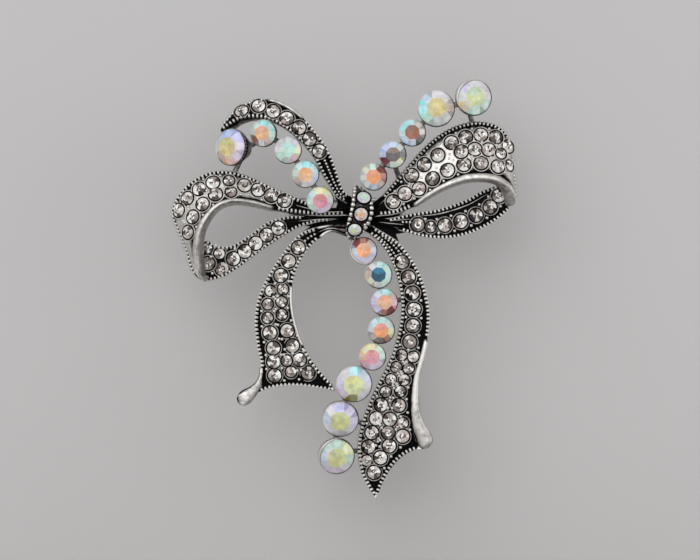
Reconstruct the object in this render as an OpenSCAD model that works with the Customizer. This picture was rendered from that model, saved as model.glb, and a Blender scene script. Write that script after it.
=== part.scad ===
// Ribbon-bow brooch: cast ribbons set with small round stones, three sprays of larger
// stones in collets, a crowned knot, and a hinged pin with a turning catch on the back.
// Upright as worn: +X right, +Z up, front towards -Y. The pin lies on the X axis.

/* [Overall] */
// Width of the bow from loop to loop
brooch_w = 53.5; // [51:0.5:58]
// Height of the bow from the top stone to the tip of the right tail
brooch_h = 65.3; // [62:0.1:70]
// Height of the ribbon roots' front above the pin's axis
root_h = 4.6; // [4.5:0.1:5.4]
// Height of the loops' polished edges above the ribbon roots
loop_rise = 2; // [1.7:0.1:2.3]

/* [Ribbons] */
// Thickness of a ribbon under its field
ribbon_t = 1.4; // [1.2:0.05:1.6]
// Width of a ribbon's raised rim
rim_w = 0.5; // [0.4:0.05:0.6]
// Height of a rim above the field
rim_h = 0.4; // [0.25:0.05:0.5]
// Slope of a rim's inner side, measured across the ribbon
rim_slope = 0.12; // [0.08:0.02:0.2]
// Rise of the field's middle above its sides
crown_h = 0.25; // [0.15:0.05:0.35]
// Rise of the knot's middle above its sides
knot_crown_h = 0.5; // [0.3:0.05:0.7]
// Height of the knot's back above the pin's axis
knot_back_h = 3; // [2.6:0.1:3.4]
// Solder gap between castings
solder_gap = 0.1; // [0.06:0.01:0.2]
// Diameter of the rounded end of the left tail's curl
curl_d = 2.6; // [2.2:0.1:2.8]
// Diameter of the rounded end of the right tail's flare
flare_d = 2.5; // [2.2:0.1:2.8]

/* [Small stones] */
// Diameter of a pave stone
pave_d = 2; // [1.7:0.05:2.1]
// Diameter of a pave stone in the tight places
small_d = 1.6; // [1.4:0.05:1.8]
// Diameter of a stone in the knot
knot_stone_d = 2; // [1.7:0.05:2.1]
// Least metal between two stones of a row
pave_gap = 0.1; // [0.05:0.05:0.3]
// Clearance of a stone in its seat
seat_clear = 0.03; // [0.02:0.01:0.06]

/* [Stone cut] */
// Table of a stone, as a share of its diameter
table_share = 0.55; // [0.45:0.01:0.65]
// Crown height of a stone, as a share of its diameter
crown_share = 0.17; // [0.12:0.01:0.22]
// Girdle height of a stone, as a share of its diameter
girdle_share = 0.05; // [0.03:0.01:0.08]
// Pavilion depth of a stone, as a share of its diameter
pavilion_share = 0.42; // [0.36:0.01:0.46]
// Culet of a stone, as a share of its diameter
culet_share = 0.12; // [0.08:0.01:0.2]

/* [Sprays] */
// Diameter of a spray's lesser stones
mid_stone_d = 4.3; // [4:0.05:4.6]
// Diameter of a spray's large stones
large_stone_d = 5.75; // [5.4:0.05:6.1]
// Gap between neighbouring stones of the left spray
left_stone_gap = 0.3; // [0.04:0.02:0.4]
// Gap between neighbouring stones of the right spray
right_stone_gap = 0.24; // [0.04:0.02:0.4]
// Gap between neighbouring stones of the tail spray
tail_stone_gap = 0.04; // [0.04:0.02:0.2]
// Gap from the left spray's stones to the arch's inner edge
left_spray_gap = 0.1; // [0.05:0.05:0.4]
// Gap from the right spray's stones to the right loop's upper edge
right_spray_gap = 0.65; // [0.3:0.05:0.9]
// Gap from the tail spray's stones to the right tail's left edge
tail_spray_gap = 0.4; // [0.2:0.05:0.8]
// Drop from a spray stone's girdle to its collet's rim
collet_drop = 0.2; // [0.15:0.05:0.3]
// Floor of a collet under its stone
collet_floor = 0.35; // [0.3:0.05:0.5]
// Foot of a collet, as a share of its stone's diameter
collet_foot_share = 0.6; // [0.5:0.02:0.7]
// Diameter of the boss under a collet
boss_d = 1.4; // [1.2:0.1:1.7]
// Diameter of the spine rods between the bosses
spine_d = 0.9; // [0.7:0.05:1]
// Diameter of the legs that carry a spray
leg_d = 1.1; // [1:0.05:1.2]
// Diameter of the arms from the legs to behind a ribbon
arm_d = 0.8; // [0.6:0.05:0.9]

/* [Pin] */
// Diameter of the pin's shank
shank_d = 0.84; // [0.7:0.02:0.9]
// Diameter of the pin's root beside its eye
root_d = 1.2; // [1.1:0.05:1.4]
// Length of the root from the rivet's axis
root_l = 2.7; // [2.3:0.1:3.2]
// Diameter of the pin's tip inside the catch
tip_d = 0.5; // [0.4:0.02:0.54]
// Length of the taper from the shank to the tip
taper_l = 1.2; // [0.8:0.1:2]
// Diameter of the sharpened end
point_d = 0.16; // [0.1:0.02:0.24]
// Length of the sharpened cone
point_l = 1.3; // [1:0.1:1.6]
// Length of the tip past the catch, before its cone
tip_past = 0.3; // [0.1:0.1:0.6]
// Diameter of the pin's eye
eye_d = 2.2; // [2:0.05:2.4]
// Height of the pin's eye along the rivet
eye_h = 1.5; // [1.3:0.05:1.8]

/* [Hinge] */
// Diameter of the rivet
rivet_d = 0.8; // [0.7:0.02:0.9]
// Radial clearance of the eye on the rivet
eye_clear = 0.04; // [0.02:0.01:0.08]
// Radial clearance of the rivet in the ears
ear_clear = 0.02; // [0.02:0.01:0.04]
// Diameter of the rivet's heads
rivet_head_d = 1.5; // [1.3:0.05:1.8]
// Height of the rivet's heads
rivet_head_h = 0.3; // [0.2:0.05:0.4]
// Gap between the eye and each ear
ear_gap = 0.05; // [0.03:0.01:0.1]
// Thickness of an ear
ear_t = 0.7; // [0.6:0.05:0.9]
// Diameter of an ear round the rivet
ear_d = 2.6; // [2.4:0.05:2.9]
// Length of the bracket's base along the pin
bracket_l = 3.2; // [2.9:0.1:3.6]
// Thickness of the bracket's base
bracket_t = 0.8; // [0.6:0.05:1]
// Height of the base's back above the pin's axis
bracket_h = 1.6; // [1.5:0.05:1.9]

/* [Catch] */
// Bore of the catch housing
housing_bore_d = 2.6; // [2.5:0.05:2.8]
// Wall of the catch housing
housing_wall = 0.45; // [0.4:0.05:0.6]
// Length of the catch housing
housing_l = 3; // [2.6:0.1:3.4]
// Width of the housing's mouth
mouth_w = 1.3; // [1.2:0.05:1.5]
// Radial clearance of the lock in the housing
lock_clear = 0.05; // [0.03:0.01:0.08]
// Bore of the lock round the pin's tip
lock_bore_d = 1; // [0.9:0.05:1.1]
// Width of the lock's slot
slot_w = 0.88; // [0.84:0.02:0.9]
// Diameter of the lock's end collars
collar_d = 3.2; // [3.1:0.05:3.4]
// Thickness of the lock's end collars
collar_t = 0.4; // [0.3:0.05:0.5]
// Gap between a collar and the housing's end
collar_gap = 0.05; // [0.03:0.01:0.1]
// Reach of the thumb lever from the lock's axis
lever_reach = 2.8; // [2.4:0.1:3.1]
// Width of the thumb lever
lever_w = 0.9; // [0.7:0.05:1.1]
// Diameter of the solder pads under the catch and the hinge
pad_d = 2.6; // [2.2:0.1:3]
// Thickness of the solder pads
pad_t = 0.6; // [0.4:0.05:0.8]
// Diameter of the post between a pad and its fitting
post_d = 2; // [1.6:0.1:2.2]

/* [Hidden] */
$fn = 48;
eps = 0.01;

// The front view is drawn on a grid of this many steps, with the origin behind the middle of the pin.
drawn_w = 345;
drawn_h = 421;
kx = brooch_w / drawn_w;
kz = brooch_h / drawn_h;
// Sections of a ribbon between two of its stations, and the step of its tangents
steps = 4;
du = 0.05;
// Most of a ribbon's width that one rim may take
rim_limit = 0.36;

// A station of a ribbon has a point on each edge as [across, up, share of the loop's rise].
// A third row gives the widths of the two rims in rim widths, and how far the section bows
// back towards the knot in grid steps. Every ribbon runs from the knot outwards.
plain = [1, 1, 0];

left_arch_line = [
    [[57, 4.5, 0], [53.5, -3.5, 0], plain],
    [[51.5, 9.5, 0], [43, 3, 0], plain],
    [[47.5, 19, 0.05], [35, 15, 0.1], plain],
    [[43, 33, 0.1], [29, 25, 0.2], plain],
    [[35.5, 51, 0.2], [21, 41, 0.35], plain],
    [[25, 66, 0.25], [10, 55, 0.45], plain],
    [[10, 83, 0.25], [-5, 69, 0.5], plain],
    [[-9, 96, 0.1], [-22, 79, 0.5], plain],
    [[-31, 101.5, -0.1], [-37, 82, 0.5], plain],
    [[-53, 94, -0.35], [-52, 80.5, 0.45], plain],
    [[-66.5, 80.5, -0.3], [-64, 74, 0.3], plain],
    [[-75, 69.5, -0.1], [-71, 68.5, 0.1], plain]
];

left_band_line = [
    [[54.5, -6.5, 0], [52.5, -15.5, 0], plain],
    [[35, -7.5, 0], [33, -16, 0], plain],
    [[13, -0.5, -0.05], [8, -14.5, 0.1], plain],
    [[-15, 11, -0.1], [-16, -10.5, 0.3], [1, 1.2, 0]],
    [[-41, 23, -0.1], [-41, -4, 0.6], [1, 1.2, 0]],
    [[-63, 29.5, -0.15], [-60, -2.5, 0.85], [1, 1.3, 0]],
    [[-84, 28.5, -0.2], [-75, -8, 1], [1, 1.5, 0]],
    [[-103, 18.5, -0.3], [-85, -19.5, 1.05], [1, 2, 0]],
    [[-117, 3, -0.5], [-91, -31, 1.05], [1, 2.4, 0]],
    [[-122, -12, -0.6], [-94, -44, 1], [1, 2.4, 0]],
    [[-116, -28, -0.4], [-95.5, -57, 0.9], [1, 2.2, 0]],
    [[-107.5, -49, 0], [-94, -69, 0.75], plain],
    [[-102.5, -68, 0.3], [-90, -77.5, 0.6], plain],
    [[-92, -81, 0.4], [-85.5, -83.5, 0.45], plain]
];

left_return_line = [
    [[52, -21, -0.1], [52, -17.5, -0.1], plain],
    [[35, -20.5, -0.15], [33, -17.5, -0.15], plain],
    [[20, -23.5, -0.25], [13, -16.5, -0.25], plain],
    [[4, -29, -0.35], [-4, -15.5, -0.35], plain],
    [[-16, -41, -0.45], [-25, -21, -0.45], plain],
    [[-36, -54.5, -0.5], [-44, -34.5, -0.5], plain],
    [[-54, -68, -0.55], [-62, -45, -0.55], plain],
    [[-71, -78, -0.55], [-78, -45, -0.55], plain],
    [[-86, -81.5, -0.55], [-93, -37, -0.55], plain],
    [[-89.5, -78, -0.55], [-98, -37, -0.55], plain]
];

right_band_line = [
    [[82.5, -3.5, 0], [83.5, -16.5, 0], plain],
    [[97, 14.5, 0], [103, -14, 0.1], plain],
    [[111, 30.5, -0.05], [120, -7.5, 0.3], [1, 1.2, 0]],
    [[126, 48, -0.1], [137, 3.5, 0.6], [1, 1.6, 0]],
    [[143, 64, -0.1], [154, 12.5, 0.85], [1, 1.8, 0]],
    [[163, 75, -0.15], [172, 18.5, 1], [1, 2.2, 0]],
    [[185, 79.5, -0.2], [189, 20, 1.05], [1, 2.2, 0]],
    [[204, 75.5, -0.35], [203, 18, 1.05], [1, 2.2, 0]],
    [[215, 65, -0.5], [211, 13.5, 1], [1, 2.2, 0]],
    [[218.5, 50, -0.6], [216.5, 9, 0.9], [1, 2, 0]],
    [[220.5, 31, -0.5], [219.5, 3, 0.75], [1, 1.6, 0]],
    [[223, 12, -0.1], [220, -3, 0.5], plain],
    [[223.5, 0, 0.2], [218.5, -8.5, 0.4], plain]
];

right_return_line = [
    [[81, -23.5, -0.1], [83.5, -18.5, -0.1], plain],
    [[98, -27.5, -0.15], [99, -17.5, -0.15], plain],
    [[113, -32.5, -0.25], [115, -13.5, -0.25], plain],
    [[128, -37, -0.35], [130, -11, -0.35], plain],
    [[146, -39, -0.4], [145, -8.5, -0.4], plain],
    [[165, -37.5, -0.45], [161, -3.5, -0.45], plain],
    [[184, -31.5, -0.5], [176, 2.5, -0.5], plain],
    [[202, -22, -0.55], [189, 10, -0.55], plain],
    [[217, -10, -0.55], [204, 15.5, -0.55], plain]
];

left_tail_line = [
    [[50.5, -24.5, -0.1], [53.5, -36.5, -0.1], plain],
    [[36, -24.5, -0.1], [38.5, -32, -0.1], plain],
    [[21, -27.5, -0.05], [28, -38, -0.05], plain],
    [[7, -33, 0], [16.5, -49, 0], plain],
    [[-6, -46.5, 0.05], [7, -63.5, 0.05], plain],
    [[-18, -63.5, 0.1], [1, -80, 0.1], plain],
    [[-28.5, -81, 0.1], [-1, -96, 0.15], plain],
    [[-36.5, -101, 0.1], [0.5, -112.5, 0.2], plain],
    [[-39, -122, 0.1], [5, -131, 0.2], plain],
    [[-37, -144, 0.1], [12.5, -149, 0.2], plain],
    [[-33, -164, 0.05], [22.5, -165, 0.15], plain],
    [[-34.5, -179, 0], [32.5, -177, 0.1], [1.2, 1, 2]],
    [[-45, -189, 0], [38, -183.5, 0.1], [4, 1, 7]],
    [[-55.5, -196, 0.05], [41.5, -188.5, 0.1], [6.6, 1, 11]],
    [[-51, -204.5, 0.05], [43, -191.5, 0.1], [5.6, 1, 15]]
];

right_tail_line = [
    [[73, -32, -0.1], [79.5, -25.5, -0.1], plain],
    [[85, -42, -0.05], [94, -34, -0.05], plain],
    [[94, -54, 0], [106, -42, 0], plain],
    [[100.5, -68, 0.05], [117.5, -55.5, 0.05], plain],
    [[105, -84, 0.1], [127.5, -73, 0.1], plain],
    [[107.5, -101, 0.15], [134, -93, 0.15], plain],
    [[107, -118, 0.2], [137.5, -114, 0.2], [1, 1.2, 0]],
    [[104, -134, 0.2], [136, -137, 0.2], [1, 1.5, 0]],
    [[99, -152, 0.2], [131.5, -160, 0.2], [1, 1.8, 0]],
    [[91, -170, 0.15], [126.5, -179, 0.15], [1, 2, 0]],
    [[81, -190, 0.1], [125.5, -198, 0.15], [1, 2.4, 0]],
    [[72.5, -209.5, 0.05], [128.5, -216.5, 0.15], [1, 3.4, 0]],
    [[66.5, -228.5, 0], [136, -231, 0.15], [1, 5.2, 0]],
    [[64, -249, -0.05], [139, -239.5, 0.1], [1, 5.4, 2]],
    [[67, -272, -0.1], [138, -243.5, 0.05], [1, 4.6, 6]],
    [[74, -287, -0.1], [135.5, -246, 0], [1, 4, 10]],
    [[83, -301, -0.1], [132.5, -248, 0], [1, 3.4, 13]]
];

knot_line = [
    [[60, 13, 0.5], [67, 12.5, 0.5], plain],
    [[59.5, 6, 1.1], [76.5, 3, 1.1], plain],
    [[58.5, -2, 1.45], [80, -6, 1.45], plain],
    [[56.5, -13, 1.55], [80, -15, 1.55], plain],
    [[53.5, -25, 1.35], [75.5, -25.5, 1.35], plain],
    [[53, -33, 0.95], [68, -34, 0.95], plain],
    [[55.5, -38.5, 0.5], [61.5, -39, 0.5], plain]
];

// The rounded end of a tail's polished edge: across, up, share of the loop's rise, diameter.
left_tail_knob = [-47.8, -197, 0.05, curl_d];
right_tail_knob = [131.3, -240.5, 0.1, flare_d];

// A row of stones: most stones, first and last station, share of the width at each, diameter.
left_arch_rows = [
    [5, 4.2, 7.2, 0.53, 0.56, pave_d],
    [1, 8.03, 8.03, 0.42, 0.42, pave_d],
    [1, 8.9, 8.9, 0.5, 0.5, pave_d]
];
left_band_rows = [
    [4, 2.75, 4.35, 0.46, 0.42, pave_d],
    [1, 5.1, 5.1, 0.34, 0.34, small_d],
    [1, 5.05, 5.05, 0.69, 0.69, small_d],
    [4, 5.93, 8.4, 0.335, 0.225, pave_d],
    [4, 5.93, 9, 0.66, 0.64, pave_d]
];
left_return_rows = [
    [5, 3.72, 6.13, 0.5, 0.45, pave_d],
    [2, 6.85, 7.6, 0.74, 0.8, small_d],
    [2, 6.9, 7.7, 0.27, 0.42, pave_d]
];
right_band_rows = [
    [2, 1, 1.75, 0.57, 0.56, pave_d],
    [6, 2.55, 7.1, 0.7, 0.735, pave_d],
    [3, 2.35, 3.9, 0.3, 0.36, pave_d],
    [3, 5.05, 6.47, 0.49, 0.49, pave_d],
    [1, 7.33, 7.33, 0.48, 0.48, small_d],
    [5, 4.65, 8.05, 0.27, 0.22, pave_d],
    [1, 8.43, 8.43, 0.53, 0.53, small_d]
];
right_return_rows = [
    [1, 2.72, 2.72, 0.46, 0.46, pave_d],
    [1, 3.53, 3.53, 0.4, 0.4, small_d],
    [4, 4.36, 7.08, 0.43, 0.45, pave_d],
    [1, 7.82, 7.82, 0.62, 0.62, pave_d]
];
left_tail_rows = [
    [3, 3.54, 5.3, 0.48, 0.43, pave_d],
    [3, 6.3, 7.66, 0.29, 0.32, small_d],
    [2, 8.37, 9.12, 0.34, 0.34, pave_d],
    [2, 9.84, 10.84, 0.26, 0.24, pave_d],
    [3, 5.9, 7.3, 0.66, 0.68, small_d],
    [4, 8.11, 10.65, 0.745, 0.775, pave_d],
    [2, 9.75, 10.55, 0.51, 0.51, small_d]
];
right_tail_rows = [
    [6, 3.02, 7.33, 0.5, 0.44, pave_d],
    [4, 8.03, 9.98, 0.3, 0.26, small_d],
    [4, 10.66, 13.02, 0.25, 0.155, pave_d],
    [1, 13.68, 13.68, 0.115, 0.115, small_d],
    [1, 14.75, 14.75, 0.165, 0.165, pave_d],
    [4, 7.98, 9.83, 0.65, 0.58, small_d],
    [1, 10.55, 10.55, 0.59, 0.59, pave_d],
    [1, 11.52, 11.52, 0.645, 0.645, small_d],
    [1, 12.5, 12.5, 0.615, 0.615, pave_d],
    [2, 11.37, 12.2, 0.44, 0.415, pave_d],
    [1, 13.24, 13.24, 0.43, 0.43, pave_d],
    [1, 13.93, 13.93, 0.3, 0.3, pave_d]
];
knot_rows = [[3, 1.47, 4.32, 0.57, 0.43, knot_stone_d]];

// A spray follows one edge of a ribbon: ribbon, edge, gap, station of its first stone, diameters,
// first and last share of the loop's rise, the lean of each stone as [right, up], gap between stones.
mid = mid_stone_d;
large = large_stone_d;
left_spray = [
    left_arch_line, 1, left_spray_gap, 1.4, [mid, mid, mid, mid, large], [1.45, 1],
    [[0, -0.2], [0, -0.1], [0, 0], [-0.25, 0], [-0.7, 0.05]], left_stone_gap
];
right_spray = [
    right_band_line, 0, right_spray_gap, 0.82, [mid, mid, mid, large, large], [1.1, 1],
    [[0, 0], [0.05, 0], [0, 0.05], [0.05, 0.1], [0.25, 0.1]], right_stone_gap
];
tail_spray = [
    right_tail_line, 0, tail_spray_gap, 0.65, [mid, mid, mid, mid, mid, large, large, large], [1, 0.95],
    [[0, 0.1], [0, 0], [0.1, 0], [0, -0.05], [0, -0.05], [0, -0.15], [0, -0.3], [0.1, -0.25]], tail_stone_gap
];
// A leg of a spray: stone that it stands under, and the ribbon, station and share that its arm reaches.
left_legs = [[1, left_arch_line, 3.2, 0.4], [4, left_band_line, 5, 0.2]];
right_legs = [[1, right_band_line, 1.6, 0.16], [4, right_band_line, 5.8, 0.12]];
tail_legs = [[2, right_tail_line, 5, 0.3], [6, right_tail_line, 12, 0.15], [7, right_tail_line, 13.3, 0.12]];

// Places of the hinge and the catch on the back, as [station, share of the width]
hinge_spot = [1.3, 0.6];
catch_spot = [7, 0.5];
// Grid positions of the rivet and of the catch's middle along the pin
hinge_at = 104;
catch_at = -93;
// Angle of the lever from the mouth, with the lock open
lever_angle = -60;

hinge_x = hinge_at * kx;
catch_x = catch_at * kx;
lock_r = housing_bore_d / 2 - lock_clear;
lock_l = housing_l + 2 * (collar_gap + collar_t);
shank_end = catch_x + lock_l / 2 + collar_t;
tip_end = catch_x - lock_l / 2 - tip_past;
ear_in = eye_h / 2 + ear_gap;
ear_out = ear_in + ear_t;

function unit(v) = v / norm(v);
function mix(a, b, t) = a + (b - a) * t;
// Height above the pin's axis for a share of the loop's rise
function rise(s) = root_h + s * loop_rise;
// Smooth curve through four stations, between the middle two
function smooth(a, b, c, d, t) =
    0.5 * (2 * b + (c - a) * t + (2 * a - 5 * b + 4 * c - d) * t * t + (3 * b - a - 3 * c + d) * t * t * t);
function station(r, u) =
    let (
        n = len(r) - 1,
        i = min(max(floor(u), 0), n - 1),
        before = i > 0 ? r[i - 1] : 2 * r[0] - r[1],
        after = i < n - 1 ? r[i + 2] : 2 * r[n] - r[n - 1]
    )
    smooth(before, r[i], r[i + 1], after, u - i);
function edge(s, k) = [s[k][0] * kx, -rise(s[k][2]), s[k][1] * kz];
function middle(r, u) = let (s = station(r, u)) (edge(s, 0) + edge(s, 1)) / 2;
function along_ribbon(r, u) = unit(middle(r, u + du) - middle(r, u - du));
function across(r, u) = let (s = station(r, u)) edge(s, 1) - edge(s, 0);
// 1 where the ribbon's run, its width and its front make a right-handed set, else -1
function hand(r) = let (u = (len(r) - 1) / 2) cross(along_ribbon(r, u), across(r, u))[1] < 0 ? 1 : -1;
function front(r, u) = hand(r) * unit(cross(along_ribbon(r, u), across(r, u)));
// Shares of the width at which the two rims end
function rim_ends(r, u) =
    let (s = station(r, u), w = norm(across(r, u)))
    [min(rim_w * s[2][0] / w, rim_limit), 1 - min(rim_w * s[2][1] / w, rim_limit)];
// Point at a share of the width and a height over the section's straight line
function lay(r, u, v, h) =
    let (s = station(r, u), bow = 4 * v * (1 - v) * s[2][2] * kz)
    mix(edge(s, 0), edge(s, 1), v) - bow * along_ribbon(r, u) + h * front(r, u);
function crown(r, u, v, c) =
    let (e = rim_ends(r, u), f = (v - e[0]) / (e[1] - e[0]))
    4 * c * f * (1 - f);

// Outline of a section as [share of the width, height], from the first edge's back round to the second's
function section(r, u, c, lift) =
    let (e = rim_ends(r, u), s = rim_slope / norm(across(r, u)))
    concat(
        [[0, -ribbon_t], [0, rim_h], [e[0], rim_h], [e[0] + s, lift]],
        [for (f = [0.25, 0.5, 0.75]) let (v = mix(e[0], e[1], f)) [v, lift > 0 ? lift : crown(r, u, v, c)]],
        [[e[1] - s, lift], [e[1], rim_h], [1, rim_h]],
        [for (v = [1, 0.75, 0.5, 0.25]) [v, -ribbon_t]]
    );
ring = 14;
// Triangles that close a ribbon's end, from its front points to those of its back
end_cap = [
    [0, 1, 2], [0, 2, 3], [0, 3, 4], [0, 4, 13], [13, 4, 5], [13, 5, 12],
    [12, 5, 6], [12, 6, 11], [11, 6, 10], [10, 6, 7], [10, 7, 8], [10, 8, 9]
];
function reversed(f) = [for (j = [len(f) - 1 : -1 : 0]) f[j]];
// Points of one section, with a flat back at a set height where one is given
function ring_points(r, u, c, lift, back_h) =
    [
        for (q = section(r, u, c, lift))
            let (p = lay(r, u, q[0], q[1]))
            q[1] < 0 && back_h > 0 ? [p[0], -back_h, p[2]] : p
    ];
// Share of the last interval that an end rim takes
function end_share(r) = let (n = len(r) - 1) rim_w / norm(middle(r, n) - middle(r, n - 1));
function stops(r, end_rim) =
    let (n = len(r) - 1, last = end_rim ? n - end_share(r) : n)
    concat(
        [for (i = [0 : steps * n - 1]) if (i / steps < last - du) i / steps],
        end_rim ? [last, last + rim_slope / kz / 20] : [],
        [n]
    );

// A cast ribbon between its two edges, with raised rims and, at choice, a rim across its end
module ribbon(r, c = crown_h, end_rim = false, back_h = 0) {
    us = stops(r, end_rim);
    wall = len(us) - 2;
    points = [
        for (i = [0 : len(us) - 1])
            each ring_points(r, us[i], c, end_rim && i >= wall ? rim_h : 0, back_h)
    ];
    sides = [
        for (i = [0 : len(us) - 2], j = [0 : ring - 1])
            let (a = i * ring + j, b = i * ring + (j + 1) % ring)
            each [[a, b, b + ring], [a, b + ring, a + ring]]
    ];
    last = (len(us) - 1) * ring;
    caps = [for (t = end_cap) each [reversed(t), [for (j = t) j + last]]];
    faces = concat(sides, caps);
    polyhedron(points, hand(r) > 0 ? faces : [for (f = faces) reversed(f)]);
}

// Carries local +Z onto a direction
module facing(p, n) {
    translate(p) rotate([0, acos(n[2]), atan2(n[1], n[0])]) children();
}

// A round rod between two points
module rod(a, b, d) {
    facing(a, unit(b - a)) cylinder(h = norm(b - a), d = d);
}

// A round brilliant stone, with its girdle's lower edge at the origin
module stone(d) {
    pavilion = pavilion_share * d;
    culet_r = culet_share * d / 2;
    girdle = girdle_share * d;
    top = girdle + crown_share * d;
    rotate_extrude()
        polygon([[0, -pavilion], [culet_r, -pavilion], [d / 2, 0], [d / 2, girdle], [table_share * d / 2, top], [0, top]]);
}

// Stations of a row's stones, evenly spaced along the row, as many as fit
function row_table(r, row) =
    let (n = 24, us = [for (i = [0 : n]) mix(row[1], row[2], i / n)], vs = [for (i = [0 : n]) mix(row[3], row[4], i / n)])
    [for (i = 0, s = 0; i <= n;
        s = s + (i < n ? norm(lay(r, us[i + 1], vs[i + 1], 0) - lay(r, us[i], vs[i], 0)) : 0), i = i + 1) [s, i / n]];
function row_shares(r, row) =
    let (
        table = row_table(r, row),
        length = table[len(table) - 1][0],
        count = min(row[0], floor(length / (row[5] + pave_gap) + eps) + 1)
    )
    count < 2 ? [0.5] : [for (i = [0 : count - 1]) lookup(i * length / (count - 1), table)];
// Every stone of a ribbon's rows as [place, direction, diameter]
function set_stones(r, rows, c) =
    [
        for (row = rows, f = row_shares(r, row))
            let (u = mix(row[1], row[2], f), v = mix(row[3], row[4], f))
            [lay(r, u, v, crown(r, u, v, c)), front(r, u), row[5]]
    ];

// The stones of a ribbon
module stones(r, rows, c = crown_h) {
    for (s = set_stones(r, rows, c))
        facing(s[0], s[1]) stone(s[2]);
}

// The seat of a stone: a cone round its pavilion, open above its girdle
module seat(d) {
    r = d / 2 + seat_clear;
    foot_r = culet_share * d / 2 + seat_clear;
    rotate_extrude() polygon([
        [0, -pavilion_share * d - seat_clear], [foot_r, -pavilion_share * d - seat_clear],
        [r, -seat_clear], [r, d / 2 + rim_h], [0, d / 2 + rim_h]
    ]);
}

// The seats of a ribbon's stones
module seats(r, rows, c = crown_h) {
    for (s = set_stones(r, rows, c))
        facing(s[0], s[1]) seat(s[2]);
}

// A ribbon with its seats cut
module set_ribbon(r, rows, c = crown_h, end_rim = false, back_h = 0) {
    difference() {
        ribbon(r, c, end_rim, back_h);
        seats(r, rows, c);
    }
}

// A rounded end as thick as the ribbon and its rim, with its edges eased
module knob(k) {
    r = k[3] / 2;
    translate([k[0] * kx, -rise(k[2]), k[1] * kz]) rotate([90, 0, 0]) rotate_extrude() polygon([
        [0, -ribbon_t], [0.7 * r, -ribbon_t], [r, -ribbon_t / 2], [r, 0], [0.7 * r, rim_h], [0, rim_h]
    ]);
}

// Place beside a ribbon's edge, in the front view
function edge_2d(r, k, u) = let (e = edge(station(r, u), k)) [e[0], e[2]];
function beside(r, k, u, d) =
    let (
        t = unit(edge_2d(r, k, u + du) - edge_2d(r, k, u - du)),
        n = [-t[1], t[0]],
        out = n * (edge_2d(r, k, u) - edge_2d(r, 1 - k, u)) > 0 ? n : -n
    )
    edge_2d(r, k, u) + d * out;
// Station at which the next stone of a spray just clears the last one, by halving
function next_station(s, i, from, low, high, tries = 24) =
    let (
        u = (low + high) / 2,
        apart = (s[4][i] + s[4][i - 1]) / 2 + s[7],
        far = norm(beside(s[0], s[1], u, s[4][i] / 2 + s[2]) - from) > apart
    )
    tries == 0 ? u : next_station(s, i, from, far ? low : u, far ? u : high, tries - 1);
// Stations that one spray's next stone may lie ahead of the last
reach = 5;
function spray_stations(s, i = 0, u = 0) =
    let (here = i == 0 ? s[3] : u, from = beside(s[0], s[1], here, s[4][i] / 2 + s[2]))
    i == len(s[4]) - 1 ? [here]
        : concat([here], spray_stations(s, i + 1, next_station(s, i + 1, from, here, here + reach)));
// Every stone of a spray as [place, direction, diameter]
function spray_stones(s) =
    let (us = spray_stations(s), n = len(us))
    [
        for (i = [0 : n - 1])
            let (p = beside(s[0], s[1], us[i], s[4][i] / 2 + s[2]), lean = s[6][i])
            [[p[0], -rise(mix(s[5][0], s[5][1], i / (n - 1))), p[1]], unit([lean[0], -1, lean[1]]), s[4][i]]
    ];
function collet_depth(d) = pavilion_share * d + seat_clear + collet_floor;
// Middle of the boss under a spray stone
function boss(s) = s[0] - s[1] * (collet_depth(s[2]) + boss_d / 2);
// Point behind a ribbon where an arm ends, clear of the ribbon's first edge
function arm_end(leg) =
    let (p = lay(leg[1], leg[2], leg[3], -ribbon_t), q = lay(leg[1], leg[2], 0, -ribbon_t))
    [p[0], max(p[1], q[1]) + solder_gap + arm_d / 2, p[2]];

// A collet under a spray stone: a cup with a conical seat, and its boss
module collet(d) {
    r = d / 2;
    depth = collet_depth(d);
    culet_r = culet_share * r;
    slope = (r - culet_r) / (pavilion_share * d);
    seat_r = r - collet_drop * slope + seat_clear;
    seat_end = -pavilion_share * d - seat_clear;
    boss_r = boss_d / 2;
    rotate_extrude()
        polygon([
            [0, -depth - boss_d], [boss_r, -depth - boss_d], [boss_r, -depth], [collet_foot_share * r, -depth],
            [r, -collet_drop], [seat_r, -collet_drop], [culet_r + seat_clear, seat_end], [0, seat_end]
        ]);
}

// A spray's collets, spine and legs, cast as one piece
module collets(s, legs) {
    set = spray_stones(s);
    for (c = set)
        facing(c[0], c[1]) collet(c[2]);
    for (i = [1 : len(set) - 1])
        rod(boss(set[i - 1]), boss(set[i]), spine_d);
    for (leg = legs) {
        top = boss(set[leg[0]]);
        end = arm_end(leg);
        knee = [top[0], end[1], top[2]];
        rod(top, knee + [0, leg_d / 2, 0], leg_d);
        rod(knee, end, arm_d);
    }
}

// One stone of a spray
module spray_stone(s, i) {
    c = spray_stones(s)[i];
    color("lightcyan") facing(c[0], c[1]) stone(c[2]);
}

module left_arch() {
    color("silver") set_ribbon(left_arch_line, left_arch_rows);
}

module left_loop_band() {
    color("silver") set_ribbon(left_band_line, left_band_rows);
}

module left_loop_return() {
    color("gray") set_ribbon(left_return_line, left_return_rows);
}

module right_loop_band() {
    color("silver") set_ribbon(right_band_line, right_band_rows);
}

module right_loop_return() {
    color("gray") set_ribbon(right_return_line, right_return_rows);
}

module left_tail() {
    color("silver") {
        set_ribbon(left_tail_line, left_tail_rows, end_rim = true);
        knob(left_tail_knob);
    }
}

module right_tail() {
    color("silver") {
        set_ribbon(right_tail_line, right_tail_rows, end_rim = true);
        knob(right_tail_knob);
    }
}

module knot() {
    color("silver") set_ribbon(knot_line, knot_rows, c = knot_crown_h, back_h = knot_back_h);
}

module left_arch_stones() {
    color("white") stones(left_arch_line, left_arch_rows);
}

module left_band_stones() {
    color("white") stones(left_band_line, left_band_rows);
}

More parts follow.
